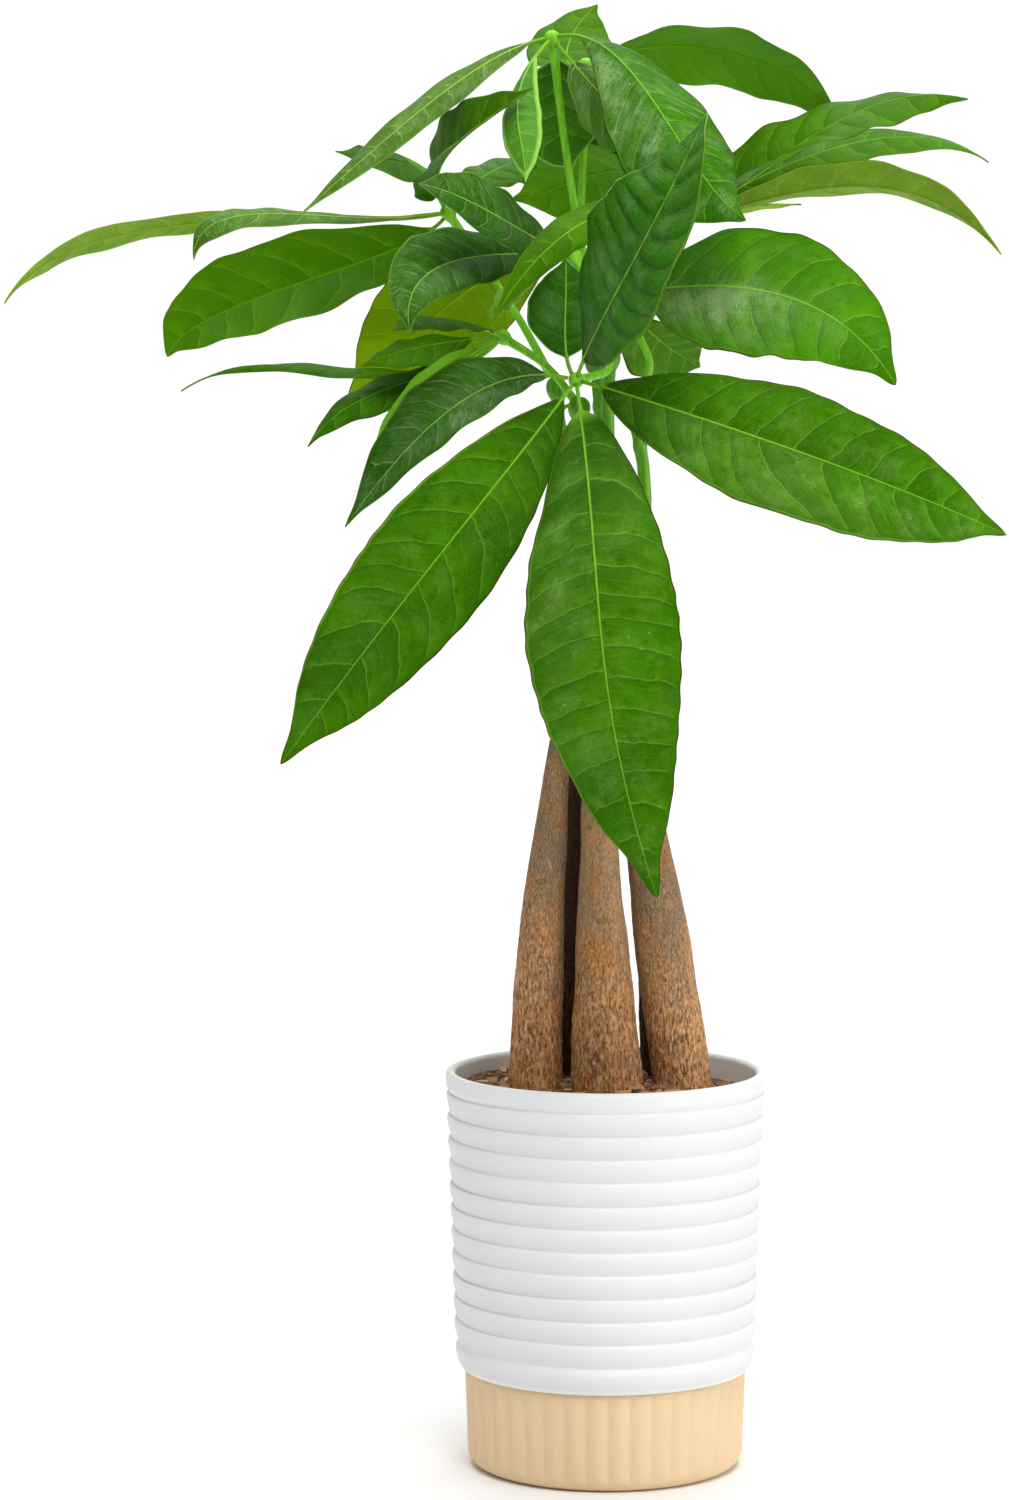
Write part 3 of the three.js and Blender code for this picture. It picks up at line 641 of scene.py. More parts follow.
def barkFinish(name, number):
    m = Recipe("bark_" + name)
    where = m.place()
    # painted shade: all colours of the trunks behind are darkened for the shadow they stand in
    shade = barkShared["shade"] if name.startswith("back") else 1.0

    def hue(rgb):
        return tint([shade * c for c in rgb])

    low, high, grey, dark = (hue(rgb) for rgb in barkTones[name])
    # the lighter colour of the painted highlight on the fibre crests
    crest = hue([c + 44 for c in barkTones[name][0]])
    orange, straw, flake, tornHue, scarRim, scarHue, greenTop = (
        hue(barkShared[key]) for key in ("orange", "straw", "flake", "torn", "scarRim", "scar", "greenTop"))
    ridge, rough, scar, peel, height = map(m.attribute, ("ridge", "rough", "scar", "peel", "height"))
    patch = m.noise(m.place((1, 1, 0.6)), 52 + 3 * number, 4, 0.6)
    cloud = m.noise(m.place((1, 1, 0.7)), 105, 3, 0.6)
    grain = m.noise(m.place((1, 1, 0.5)), 1300, 3, 0.7)
    # coarse fibres low down and fine ones all over: dark in the hollows of wavy upright noise, with a painted
    # highlight in a lighter colour on its crests
    coarse = m.noise(m.waved(m.place((1, 1, 0.33)), where, 500, 0.0006), 960, 2, 0.6)
    thin = m.noise(m.waved(m.place((1, 1, 0.3)), where, 900, 0.0003), 1900, 2, 0.6)
    fibre = thin + (coarse - thin) * (rough * 0.6 + 0.1)
    paintedCrestHighlight = m.step(fibre, 0.51, 0.6)
    blotch = m.noise(m.waved(m.place((1, 1, 0.4)), where, 300, 0.001), 300, 3, 0.6)
    flakes = m.step(m.noise(m.place((1, 1, 0.6)), 230 + 9 * number, 3, 0.5), 0.68, 0.71)
    pores = m.step(m.cells(m.place((1, 1, 0.7)), 360), 0.14, 0.06) * m.step(grain, 0.45, 0.5)
    torn = peel + (m.noise(where, 700, 3, 0.6) - 0.5) * 1.1
    ragged = scar + (m.noise(where, 900, 3, 0.6) - 0.5) * 0.9
    colour = m.coats(
        m.blend(m.step(rough, 0.05, 0.75), high, low),
        (m.step(patch, 0.44, 0.62) * (0.9 - rough * 0.45), grey),
        (m.step(cloud, 0.5, 0.66) * 0.55, orange),
        (m.step(blotch, 0.5, 0.34) * (0.2 + rough * 0.05), dark),
        (m.step(blotch, 0.54, 0.66) * (0.2 + rough * 0.3), straw),
        (m.step(grain, 0.52, 0.38) * 0.4, dark),
        # painted highlight on the fibre crests
        (paintedCrestHighlight * (0.22 + rough * 0.5), crest),
        (m.step(ridge, 0.0, -0.7) * rough * 0.16, dark),
        (m.step(fibre, 0.475, 0.4) * (0.28 + rough * 0.4), dark),
        (pores * 0.6, dark),
        (flakes * 0.3, flake),
        (m.step(torn, 0.35, 0.6) * (0.55 + paintedCrestHighlight * 0.3), tornHue),
        (m.step(ragged, 0.3, 0.5) * 0.7, scarRim),
        (m.step(ragged, 0.7, 0.9) * 0.8, scarHue),
        (m.step(height, 286.0, 296.0) * 0.8, greenTop))
    normal = m.bump(fibre * 1.6 + blotch * 0.8 + grain * 0.4 + flakes * 0.3, 0.9, 0.001)
    return m.finish(Base_Color=colour, Roughness=0.7 + grain * 0.15, Normal=normal, Specular_IOR_Level=0.25)


for number, name in enumerate(trunkTable):
    rings, data = trunkRings(name, 40 + 7 * number)
    place(ringMesh("bark_trunk_" + name, rings, [barkFinish(name, number)], data), "trunk_" + name)
print("trunks made")


# the points that each shoot passes through above its trunk, the last one being its swollen tip
shootTable = {
    "left": [[-19, -3, 340], [-13, -1, 395], [-11, 0, 430]],
    "middle": [[-2, -8, 350], [0, -7, 410], [1, -6, 450]],
    "right": [[14.5, -2, 350], [15, -3, 400], [10, -1, 430]],
    "back_left": [[-14, 15, 350], [-17, 17, 400], [-20, 18, 438]],
    "back_right": [[3, 17, 360], [-1, 21, 410], [-4, 23, 448]],
}
# the swellings of a shoot are its nodes, at these shares of its length, and its tip
shootShape = {
    "foot": 3.2, "taper": 0.8, "tip": 4.3, "tipLength": 6.0, "around": 40, "rings": 170, "node": 0.45,
    "nodes": (0.12, 0.34, 0.55, 0.78), "rib": 0.12, "ribs": 5, "uneven": 0.14, "ripple": 0.06, "gap": 0.3,
}
stalkShape = {"radius": 1.5, "flare": 0.4, "hub": 3.1, "start": 3.9, "around": 24, "rings": 110,
              "hubLength": 1.3, "ripple": 0.05}
# greens of the stems: light, dark and clouds
stemGreens = {
    "shootGreen": [(104, 172, 28), (72, 138, 18), (122, 144, 60)],
    "stalkGreen": [(134, 212, 12), (104, 186, 6), (134, 196, 34)],
}
stemFleck = (196, 214, 130)


def carriedOn(centres, run, ahead):
    # the path with points added straight on past its end, and how far past the end each point lies
    beyond = centres[-1] + unit(centres[-1] - centres[-2]) * ahead[:, None]
    return np.vstack([centres, beyond]), np.concatenate([run, ahead])[:, None]


def withBud(body, over, radius, length, ripple, power):
    # (body^power + bud^power)^(1 / power) up to the end of the path and the bud alone past it, where
    # bud = radius * sqrt(1 - x^2), and x is the distance from the end as a share of the bud's length
    x = np.clip(over / np.where(over < 0, length, radius), -1, 1)
    bud = radius * np.sqrt(np.maximum(1 - x ** 2, 1e-4)) * (1 + ripple)
    return np.where(over < 0, (body ** power + bud ** power) ** (1 / power), bud)


def shootRings(base, points, seed):
    # radius = foot less taper, ribs, a low ring at every node, and a swollen tip
    s = SimpleNamespace(**shootShape)
    centres, length = evenly([[base[0], base[1], trunkShape["top"] + s.gap], *points], s.rings)
    run = np.linspace(0, length, s.rings) - length
    centres, over = carriedOn(centres, run, np.linspace(0.4, s.tip - 0.3, 10))
    angle = circle(s.around)[None]
    body = s.foot - s.taper * np.clip(1 + over / length, 0, 1)
    ribs = s.rib * np.cos(angle * s.ribs + over * 0.01)
    ribs = ribs + s.uneven * lumps(angle / (2 * np.pi) * 7, over / 6 + 40, seed, 7)
    body = body + s.node * sum(bell(over + length * f, 2.0) for f in s.nodes) + ribs * fade(-over, 2, 10)
    ripple = s.ripple * np.cos(angle * 4 + seed)
    return sweep(centres, withBud(body, over, s.tip, s.tipLength, ripple, 4), s.around)


def stalkRings(start, via, hub):
    # a round stalk that flares towards both ends and closes in a swollen hub
    s = SimpleNamespace(**stalkShape)
    centres, length = evenly([start, *via, hub], s.rings)
    centres = centres[np.searchsorted(np.linspace(0, length, s.rings), s.start):]
    run = np.linspace(s.start - length, 0, len(centres))
    centres, over = carriedOn(centres, run, np.linspace(0.3, s.hub - 0.2, 9))
    angle = circle(s.around)[None]
    share = np.clip(1 + over / length, 0, 1)
    body = s.radius + s.flare * (1 - np.sin(np.pi * share)) + s.ripple * np.cos(3 * angle)
    radii = withBud(body, over, s.hub, s.hub * s.hubLength, s.ripple * np.cos(5 * angle), 5)
    steep = abs(hub[2] - start[2]) > abs(hub[1] - start[1])
    return sweep(centres, radii, s.around, (0, 1, 0) if steep else (0, 0, 1))


def stemFinish(name):
    # streaks along the stem, clouds and pale flecks
    m = Recipe(name)
    light, dark, clouds = (tint(rgb) for rgb in stemGreens[name])
    streak = m.noise(m.place((1, 1, 0.12)), 520, 4, 0.55)
    cloud = m.noise(m.place(), 70, 3)
    fleck = m.step(m.cells(m.place((1, 1, 0.5)), 260), 0.05, 0.16, 1.0, 0.0)
    colour = m.coats(m.blend(m.step(streak, 0.35, 0.65), dark, light),
                     (m.step(cloud, 0.52, 0.7) * 0.45, clouds), (fleck * 0.35, tint(stemFleck)))
    normal = m.bump(streak + fleck * 0.2, 0.35, 0.0007)
    return m.finish(Base_Color=colour, Roughness=0.4 + streak * 0.12, Normal=normal)


shootGreen, stalkGreen = (stemFinish(name) for name in stemGreens)
for number, (name, points) in enumerate(shootTable.items()):
    rings = shootRings(trunkTable[name][-1], points, 70 + number)
    place(ringMesh("green_shoot_" + name, rings, [shootGreen]), "shoot_" + name)
print("shoots made")


# each leaf: its shoot, the points its stalk bends through, its hub and its leaflets. Each leaflet: two points
# a third and two thirds along its midrib, its tip, its width, its roll about the midrib (positive lowers the
# side on the right, seen from the hub), the turn added towards the tip, how far its halves droop, in degrees;
# where they differ from the usual, the share of the blade at which it is widest, its fullness and the droop
# at the tip
leafTable = {
    "front": ("middle", [[-1, -27, 444]], [-13, -45, 441], [
        [[-42, -78, 404], [-82, -95, 354], [-127, -88, 294], 51, -65, 0, -8, 0.57, 0.72],
        [[-7, -118, 374], [-1, -132, 317], [17, -110, 245], 60, 36, -8, 8, 0.48, 0.6],
        [[36, -70, 426], [96, -76, 405], [154, -60, 381], 57, 60, 0, -8, 0.52],
        [[-2, -80, 467], [15, -104, 500], [36, -94, 542], 62, 78, 0, -8, 0.52],
        [[-17, -38, 453], [-17, -31, 470], [-17, -26, 489], 31, 0, 0, 8],
        [[-43, -52, 440], [-72, -62, 421], [-103, -58, 384], 38, -38, 0, -14]]),
    "top": ("middle", [[-8, 10, 485], [-16, 14, 530]], [-22, 5, 577], [
        [[-51, -12, 564], [-84, -30, 538], [-121, -44, 505], 19, -25, 0, 8],
        [[6, -22, 565], [29, -46, 531], [53, -48, 503], 50, 40, 0, 26, 0.6],
        [[-35, -35, 554], [-35, -60, 535], [-33, -74, 517], 19, 20, 0, 25],
        [[-8, 0, 560], [5, 8, 547], [22, 16, 529], 42, 50, 0, 8],
        [[-19, 21, 563], [-18, 27, 543], [-13, 27, 526], 40, 0, 0, 8]]),
    "crown": ("back_right", [[-10, 33, 488], [-9, 36, 530]], [-8, 34, 568], [
        [[28, 48, 577], [68, 52, 569], [97, 44, 543], 51, -25, 0, 8, 0.42],
        [[-15, 58, 571], [-13, 82, 583], [-2, 98, 597], 36, 0, 0, 8],
        [[0, 60, 556], [3, 84, 540], [8, 92, 515], 46, 0, 0, 8]]),
    "inner": ("middle", [[-4, -20, 467]], [-14, -22, 490], [
        [[-29, -42, 496], [-51, -62, 508], [-74, -74, 516], 34, -55, 0, -4],
        [[-42, -28, 490], [-69, -64, 483], [-77, -82, 459], 34, -35, -10, -8],
        [[-43, 34, 485], [-73, 62, 464], [-106, 74, 434], 52, 50, 0, 8, 0.58],
        [[-28, -22, 484], [-41, -24, 475], [-47, -26, 466], 30, 20, 0, 8]]),
    "left": ("back_left", [[-38, 18, 470]], [-64, 14, 508], [
        [[-123, 0, 505], [-190, -20, 499], [-238, -30, 471], 28, 20, 0, 0, 0.7, 0.65],
        [[-96, 30, 490], [-149, 50, 472], [-180, 56, 450], 52, 36, 0, -9, 0.52],
        [[-106, -20, 505], [-145, -34, 505], [-163, -34, 488], 19, -25, 0, 8, 0.62],
        [[-67, -7, 525], [-53, -32, 539], [-30, -52, 554], 34, 60, 0, -25, 0.36],
        [[-71, 38, 525], [-87, 58, 531], [-111, 74, 535], 38, 26, 0, 8],
        [[-52, 32, 521], [-40, 43, 528], [-27, 50, 531], 34, 12, 0, 8]]),
    "lower": ("left", [[-24, 4, 446]], [-42, 8, 458], [
        [[-80, 42, 443], [-129, 44, 446], [-173, 34, 436], 22, -12, 0, 4],
        [[-71, 14, 443], [-98, 10, 433], [-120, 4, 414], 28, -30, 0, 8],
        [[-61, -8, 448], [-79, -20, 434], [-93, -20, 414], 21, 50, 0, 8],
        [[-54, -20, 463], [-69, -38, 465], [-84, -50, 460], 30, -10, 0, 8],
        [[-61, 14, 456], [-79, 8, 453], [-99, 4, 446], 30, -25, 0, 8]]),
    "right": ("back_right", [[15, 26, 468]], [31, 22, 504], [
        [[67, 4, 528], [104, 0, 549], [143, -8, 552], 49, 26, 0, -35, 0.4, 0.6, 30],
        [[72, 50, 527], [118, 62, 540], [159, 64, 530], 30, 24, 0, 8],
        [[74, 24, 516], [119, 20, 517], [159, 12, 491], 34, -22, 0, -12],
        [[44, 46, 509], [61, 62, 512], [82, 70, 513], 20, -10, 0, 8],
        [[12, 60, 526], [-10, 82, 524], [-38, 92, 516], 58, 32, 0, 8],
        [[7, -32, 508], [-20, -73, 495], [-46, -88, 463], 18, -34, 0, 8]]),
    "side": ("right", [[17, -4, 446], [12, -6, 460]], [6, -8, 475], [
        [[41, -24, 478], [79, -40, 470], [112, -44, 439], 58, 60, 0, 4, 0.42, 0.62],
        [[16, 4, 462], [27, 11, 453], [38, 13, 446], 44, -25, 0, 8],
        [[34, 8, 477], [60, 32, 471], [84, 54, 452], 40, 20, 0, 8]]),
}
smallLeaf = [[-18, -6, 429], [-21, -9, 421], [-20, -9, 411], 7, 0, 0, 8]

leafShape = {
    "hub": 3.0, "smallHub": 4.2, "gap": 0.3, "stalk": 9.0, "stalkRadius": 0.8, "widest": 0.5,
    "fullness": 0.75, "onset": 0.1, "across": 53, "crowding": 1.25, "ringStep": 1.05, "evenness": 0.72,
    "thickness": 0.22, "taper": 0.25, "pinch": 0.35, "pinchAt": 0.96, "pinchWidth": 0.06, "scallop": 0.009,
    "veinPitch": 14.0, "veinReach": 0.62, "veinShift": 0.45, "veinUneven": 0.4, "veinWander": 0.07,
    "bulge": 0.75, "wave": 0.045, "waves": (4.2, 3.7), "lump": 0.5, "usualHalf": 25, "rib": 0.6,
    "ribAbove": 0.45, "ribBelow": 1.2, "channel": 0.35, "channelWidth": 3.0,
}

# how the blade of each leaflet is dressed: `upper` and `under` name finishes below, `bulge` is the height of
# the quilting between the veins, `wave` the swing of the margin, `slant` how much the veins lean towards the
# tip and `pitch` their distance, all as multiples of the usual; `lean` is the share by which the right half
# is wider; the last key lists patches of painted sheen: share along the blade, half length, share across
# from left to right, half width, strength
plainLook = {"upper": "meadow", "under": "paleUnder", "bulge": 1.0, "wave": 1.0, "lean": 0.0, "slant": 0.8,
             "pitch": 1.0, "bloom": []}


def dress(upper, under=None, **rest):
    # the usual look with these finishes and changes; the under side is like the upper one unless it is named
    return {**plainLook, "upper": upper, "under": under or upper, **rest}


leafLooks = {
    "front_leaflet_1": dress("meadow", "paleUnder", slant=1.1, bulge=1.25,
                             bloom=[[0.8, 0.3, 0.2, 0.8, 0.08]]),
    "front_leaflet_2": dress("meadowDusty", "paleUnder", slant=0.42, bulge=1.25,
                             bloom=[[0.35, 0.32, 0.55, 0.4, 0.42]]),
    "front_leaflet_3": dress("meadowDusty", "paleUnder", bulge=1.3, lean=0.12,
                             bloom=[[0.55, 0.4, 0.6, 0.45, 0.3]]),
    "front_leaflet_4": dress("bottle", "paleUnder", bulge=2.4, slant=0.45, pitch=0.66,
                             bloom=[[0.3, 0.25, 0.0, 0.6, 0.2]]),
    "front_leaflet_5": dress("bottle"),
    "front_leaflet_6": dress("bottleStreaked", "paleUnder", bulge=0.8, bloom=[[0.4, 0.4, -0.4, 0.5, 0.4]]),
    "top_leaflet_1": dress("greyGreen"),
    "top_leaflet_2": dress("meadowFrosted", "paleUnder", bulge=0.8, bloom=[[0.36, 0.26, 0.5, 0.4, 1.0]]),
    "top_leaflet_3": dress("soft", bulge=1.8),
    "top_leaflet_4": dress("greyGreen"),
    "top_leaflet_5": dress("soft"),
    "crown_leaflet_1": dress("bright", bulge=0.6),
    "crown_leaflet_2": dress("mild"),
    "crown_leaflet_3": dress("soft"),
    "inner_leaflet_1": dress("bottleStreaked", "paleUnder"),
    "inner_leaflet_2": dress("bottleStreaked", "paleUnder", bulge=2.2),
    "inner_leaflet_3": dress("olive"),
    "inner_leaflet_4": dress("bottle", "lime"),
    "left_leaflet_1": dress("khaki", bulge=1.3),
    "left_leaflet_2": dress("fresh"),
    "left_leaflet_3": dress("greyGreen", "lime"),
    "left_leaflet_4": dress("mild"),
    "left_leaflet_5": dress("fresh"),
    "lower_leaflet_1": dress("fresh"),
    "lower_leaflet_2": dress("meadow", "olive"),
    "lower_leaflet_3": dress("bright"),
    "lower_leaflet_4": dress("mild", "olive"),
    "lower_leaflet_5": dress("mild", "bottle"),
    "right_leaflet_1": dress("mild"),
    "right_leaflet_2": dress("mild", "olive"),
    "right_leaflet_3": dress("khaki"),
    "right_leaflet_4": dress("olive"),
    "right_leaflet_5": dress("fresh"),
    "right_leaflet_6": dress("mild", "fresh", bulge=1.6),
    "side_leaflet_1": dress("meadowBright", "paleUnder", bloom=[[0.28, 0.28, 0.35, 0.42, 1.9]]),
    "small_leaf": dress("olive"),
}


def leafFrame(hub, row, t):
    # the cubic curve through hub, third, twoThirds and tip; right is level and square to it, turned by
    # roll + twist * t, and up = right x along
    a, b, c, d = (np.array(p, float) for p in (hub, *row[:3]))
    p1, p2 = (-5 * a + 18 * b - 9 * c + 2 * d) / 6, (2 * a - 9 * b + 18 * c - 5 * d) / 6
    t = t[:, None]
    centre = (1 - t) ** 3 * a + 3 * (1 - t) ** 2 * t * p1 + 3 * (1 - t) * t ** 2 * p2 + t ** 3 * d
    along = unit(3 * (1 - t) ** 2 * (p1 - a) + 6 * (1 - t) * t * (p2 - p1) + 3 * t ** 2 * (d - p2))
    heading = d - a
    level = unit(np.array([heading[1], -heading[0], 0.0]))
    right = unit(level - (along @ level)[:, None] * along)
    roll = np.radians(row[4] + row[5] * t)
    right = right * np.cos(roll) + np.cross(along, right) * np.sin(roll)
    return centre, along, right, np.cross(right, along)


def leafPath(hub, row, hubRadius):
    # where along the midrib the rings lie: eight on the leaflet's own stalk, then the blade's, a little
    # closer at its ends; run is the share of the blade, and negative on the stalk
    s = SimpleNamespace(**leafShape)
    chord = np.linalg.norm(np.array(row[2], float) - hub)
    fine = np.linspace(0, 0.4, 4000)
    start = fine[np.argmax(np.linalg.norm(leafFrame(hub, row, fine)[0] - hub, axis=1) > hubRadius + s.gap)]
    bladeStart = start + s.stalk / chord
    even = np.linspace(0, 1, int(np.clip(chord / s.ringStep, 36, 130)))
    share = s.evenness * even + (1 - s.evenness) * (1 - np.cos(np.pi * even)) / 2
    stem = np.linspace(start, bladeStart, 9)[:-1]
    t = np.concatenate([stem, bladeStart + (1 - bladeStart) * share])
    run = np.concatenate([(stem - bladeStart) / (1 - bladeStart), share])[:, None]
    return t, run, chord, (1 - bladeStart) * chord


def leafBlade(hub, row, look, seed, hubRadius):
    # rings of an upper side from the left margin to the right and a lower side back again. Half the width
    # is half the greatest times sin(pi s^a)^fullness; height = droop + quilting + wave + lumps, and the
    # midrib stands out below and lies in a channel above. v is -1 at the left margin and 1 at the right one
    s = SimpleNamespace(**leafShape)
    fold, widest, fullness, foldAtTip = [*row[6:], *[s.widest, s.fullness, row[6]][len(row) - 7:]]
    t, run, chord, length = leafPath(hub, row, hubRadius)
    blade = np.clip(run, 0, 1)
    centre, along, right, up = leafFrame(hub, row, t)
    side = np.linspace(-1, 1, s.across)
    side = np.sign(side) * np.abs(side) ** s.crowding
    v = np.concatenate([side, side[-2:0:-1]])[None]
    above = np.concatenate([np.ones(s.across), -np.ones(s.across - 2)])[None]

    # the margin
    skew = math.log(0.5) / math.log(widest)
    half = row[3] / 2 * np.maximum(np.sin(np.pi * blade ** skew), 0) ** fullness * (1 - s.taper * blade ** 4)
    half = half * (1 - s.pinch * bell(blade - s.pinchAt, s.pinchWidth))
    half = np.maximum(half, s.stalkRadius * (1 - 0.6 * fade(blade, 0.9, 1)))
    half = half * (1 + look["lean"] * np.sign(v) * fade(blade, 0, 0.1) * fade(1 - blade, 0, 0.1))

    # the side veins: whole numbers of `vein` lie on them, and they bend towards the tip
    rng = np.random.default_rng(seed)
    phase, swing = rng.uniform(0, 1, 2), rng.uniform(0.8, 1.25, 2)
    veins = max(5.0, length / (s.veinPitch * look["pitch"] * min(1, 0.5 + chord / 260)))
    slope = s.veinReach * look["slant"] * half / length
    apart = s.veinUneven * lumps(blade * veins * 0.6 + 9, np.sign(v) * 7.5 + 30, seed + 1)
    apart = apart + np.where(v < 0, 0.0, s.veinShift)
    edgeVein = veins * (blade - 1.35 * slope) + apart + phase[0]
    half = half * (1 - s.scallop * np.cos(2 * np.pi * edgeVein) * look["wave"])
    size, x = half / s.usualHalf, v * half
    reach = np.abs(v) * slope * (0.7 + 0.65 * np.abs(v) ** 2)
    wander = s.veinWander * lumps(blade * veins * 1.3 + 9, v * 4 + 30, seed + 1)
    vein = veins * (blade - reach) + apart + wander + phase[0]

    # the height of the sheet
    p = (vein % 1) ** 0.75
    quilt = (1 - (2 * p - 1) ** 2) * np.sin(np.pi * np.clip(np.abs(v), 0, 1) ** 0.8) ** 0.8
    quilt = quilt * fade(blade, 0.02, 0.15)
    wave = sum(np.sin(2 * np.pi * (count * swing[k] * blade + phase[k])) * (v < 0 if k else v > 0)
               for k, count in enumerate(s.waves)) * np.abs(v) ** 2.5
    soft = lumps(blade * 6 + 5, v * 1.2 + 12, seed + 2)
    droop = np.radians(fold + (foldAtTip - fold) * blade) * np.minimum(1, blade / s.onset)
    z = -np.abs(x) * np.sin(droop)
    z = z + s.bulge * look["bulge"] * size * quilt + s.wave * look["wave"] * half * wave
    z = z + s.lump * size * soft * fade(blade, 0, 0.2) * np.abs(v)
    z = z * fade(blade, 0, 0.06)

    # its thickness and the midrib, out of a round stalk
    leafy = fade(blade, 0, 0.05)
    rib = s.rib * (1.15 - 0.85 * blade)
    stalkRound = s.stalkRadius * np.sqrt(np.maximum(1 - v ** 2, 0))
    thick = stalkRound * (1 - leafy) + s.thickness * (1 - v ** 6) * leafy
    ribAbove = s.ribAbove * rib * bell(x, 0.8 * rib) - s.channel * size * bell(x, s.channelWidth)
    ribBelow = s.ribBelow * rib * bell(x, rib)
    z = z + above * thick + leafy * np.where(above > 0, ribAbove, -ribBelow) * (1 - v ** 6)
    points = centre[:, None] + right[:, None] * (x * np.cos(droop))[..., None] + up[:, None] * z[..., None]

    # painted sheen: pale patches where the leaflet's listed patches lie
    bloom = np.zeros_like(x)
    for middle, halfLength, across, halfWidth, strength in look["bloom"]:
        bloom = bloom + strength * bell(np.hypot((blade - middle) / halfLength, (v - across) / halfWidth), 1)
    attributes = {
        "along": np.broadcast_to(run, x.shape), "fromRib": np.abs(x), "fromEdge": half - np.abs(x),
        "vein": vein, "across": np.broadcast_to(v, x.shape), "puff": quilt, "bloom": bloom}
    isUnder = np.repeat([1, 0], s.across - 1)
    return points[:, ::-1], {key: values[:, ::-1] for key, values in attributes.items()}, isUnder


# finishes of leaf sides. Colours: the green, its darker shade, the veins, the painted sheen between them,
# the pale of dust and painted sheen, and the margin. Numbers: how strongly the veins show, the margin's
# width, dust and painted sheen in patches and in streaks along the veins, roughness, and how dark the
# painted shade is just before each vein
finishColumns = ("base", "dark", "vein", "paintedSheen", "dustAndSheen", "edge",
                 "veins", "edgeWidth", "dust", "streaks", "rough", "gully")
leafFinishes = {
    "meadow": [(58, 118, 0), (38, 88, 0), (120, 172, 56), (86, 148, 16), (150, 182, 90),
               (70, 54, 16), 0.32, 0.5, 0.16, 0.08, 0.40, 0.72],
    "meadowDusty": [(60, 121, 0), (40, 92, 0), (126, 178, 62), (92, 154, 24), (156, 188, 96),
                    (70, 58, 18), 0.32, 0.5, 0.24, 0.1, 0.40, 0.72],
    "meadowBright": [(72, 142, 0), (52, 114, 0), (136, 186, 76), (98, 166, 16), (156, 178, 124),
                     (84, 80, 22), 0.36, 0.4, 0.14, 0.08, 0.40, 0.72],
    "meadowFrosted": [(56, 118, 2), (38, 94, 0), (126, 190, 50), (92, 156, 30), (166, 198, 134),
                      (96, 120, 40), 0.4, 0.5, 0.5, 0.55, 0.38, 0.72],
    "bottle": [(52, 120, 12), (34, 92, 4), (150, 186, 96), (84, 130, 56), (158, 186, 140),
               (150, 190, 104), 0.16, 0.6, 0.22, 0.15, 0.38, 0.9],
    "bottleStreaked": [(50, 106, 10), (32, 80, 4), (146, 182, 100), (78, 124, 48), (160, 184, 140),
                       (104, 144, 66), 0.32, 0.5, 0.2, 0.6, 0.40, 0.72],
    "greyGreen": [(84, 130, 34), (58, 100, 22), (160, 190, 100), (120, 160, 70), (172, 194, 150),
                  (130, 160, 70), 0.45, 0.5, 0.35, 0.6, 0.46, 0.72],
    "fresh": [(82, 142, 0), (66, 124, 0), (120, 170, 30), (110, 166, 16), (160, 190, 110),
              (104, 140, 20), 0.5, 0.5, 0.0, 0.0, 0.53, 0.72],
    "mild": [(68, 122, 0), (52, 102, 0), (122, 168, 40), (96, 148, 16), (150, 180, 100),
             (100, 124, 30), 0.45, 0.4, 0.0, 0.05, 0.48, 0.72],
    "bright": [(106, 178, 0), (90, 160, 0), (130, 186, 40), (122, 180, 16), (170, 200, 110),
               (120, 160, 30), 0.5, 0.5, 0.0, 0.06, 0.58, 0.72],
    "soft": [(76, 138, 30), (54, 110, 18), (136, 190, 76), (110, 168, 60), (170, 200, 140),
             (150, 204, 84), 0.5, 1.6, 0.1, 0.3, 0.48, 0.72],
    "lime": [(104, 172, 14), (78, 146, 0), (156, 210, 80), (130, 196, 50), (176, 210, 120),
             (160, 206, 80), 0.55, 0.6, 0.04, 0.12, 0.48, 0.72],
    "olive": [(140, 182, 4), (112, 156, 0), (166, 192, 30), (146, 176, 20), (180, 200, 90),
              (120, 90, 30), 0.6, 0.6, 0.0, 0.04, 0.53, 0.72],
    "khaki": [(126, 168, 34), (98, 142, 24), (152, 172, 78), (150, 172, 70), (178, 190, 120),
              (166, 182, 50), 0.55, 0.8, 0.06, 0.3, 0.53, 0.72],
    "paleUnder": [(100, 150, 40), (80, 130, 26), (150, 194, 84), (124, 172, 66), (164, 196, 120),
                  (120, 130, 50), 0.65, 0.5, 0.0, 0.2, 0.58, 0.72],
}
leafShared = {"stalk": (118, 176, 44), "speck": (200, 216, 190), "gloss": 0.07,
              "glossTint": (0.6, 0.9, 0.12, 1)}


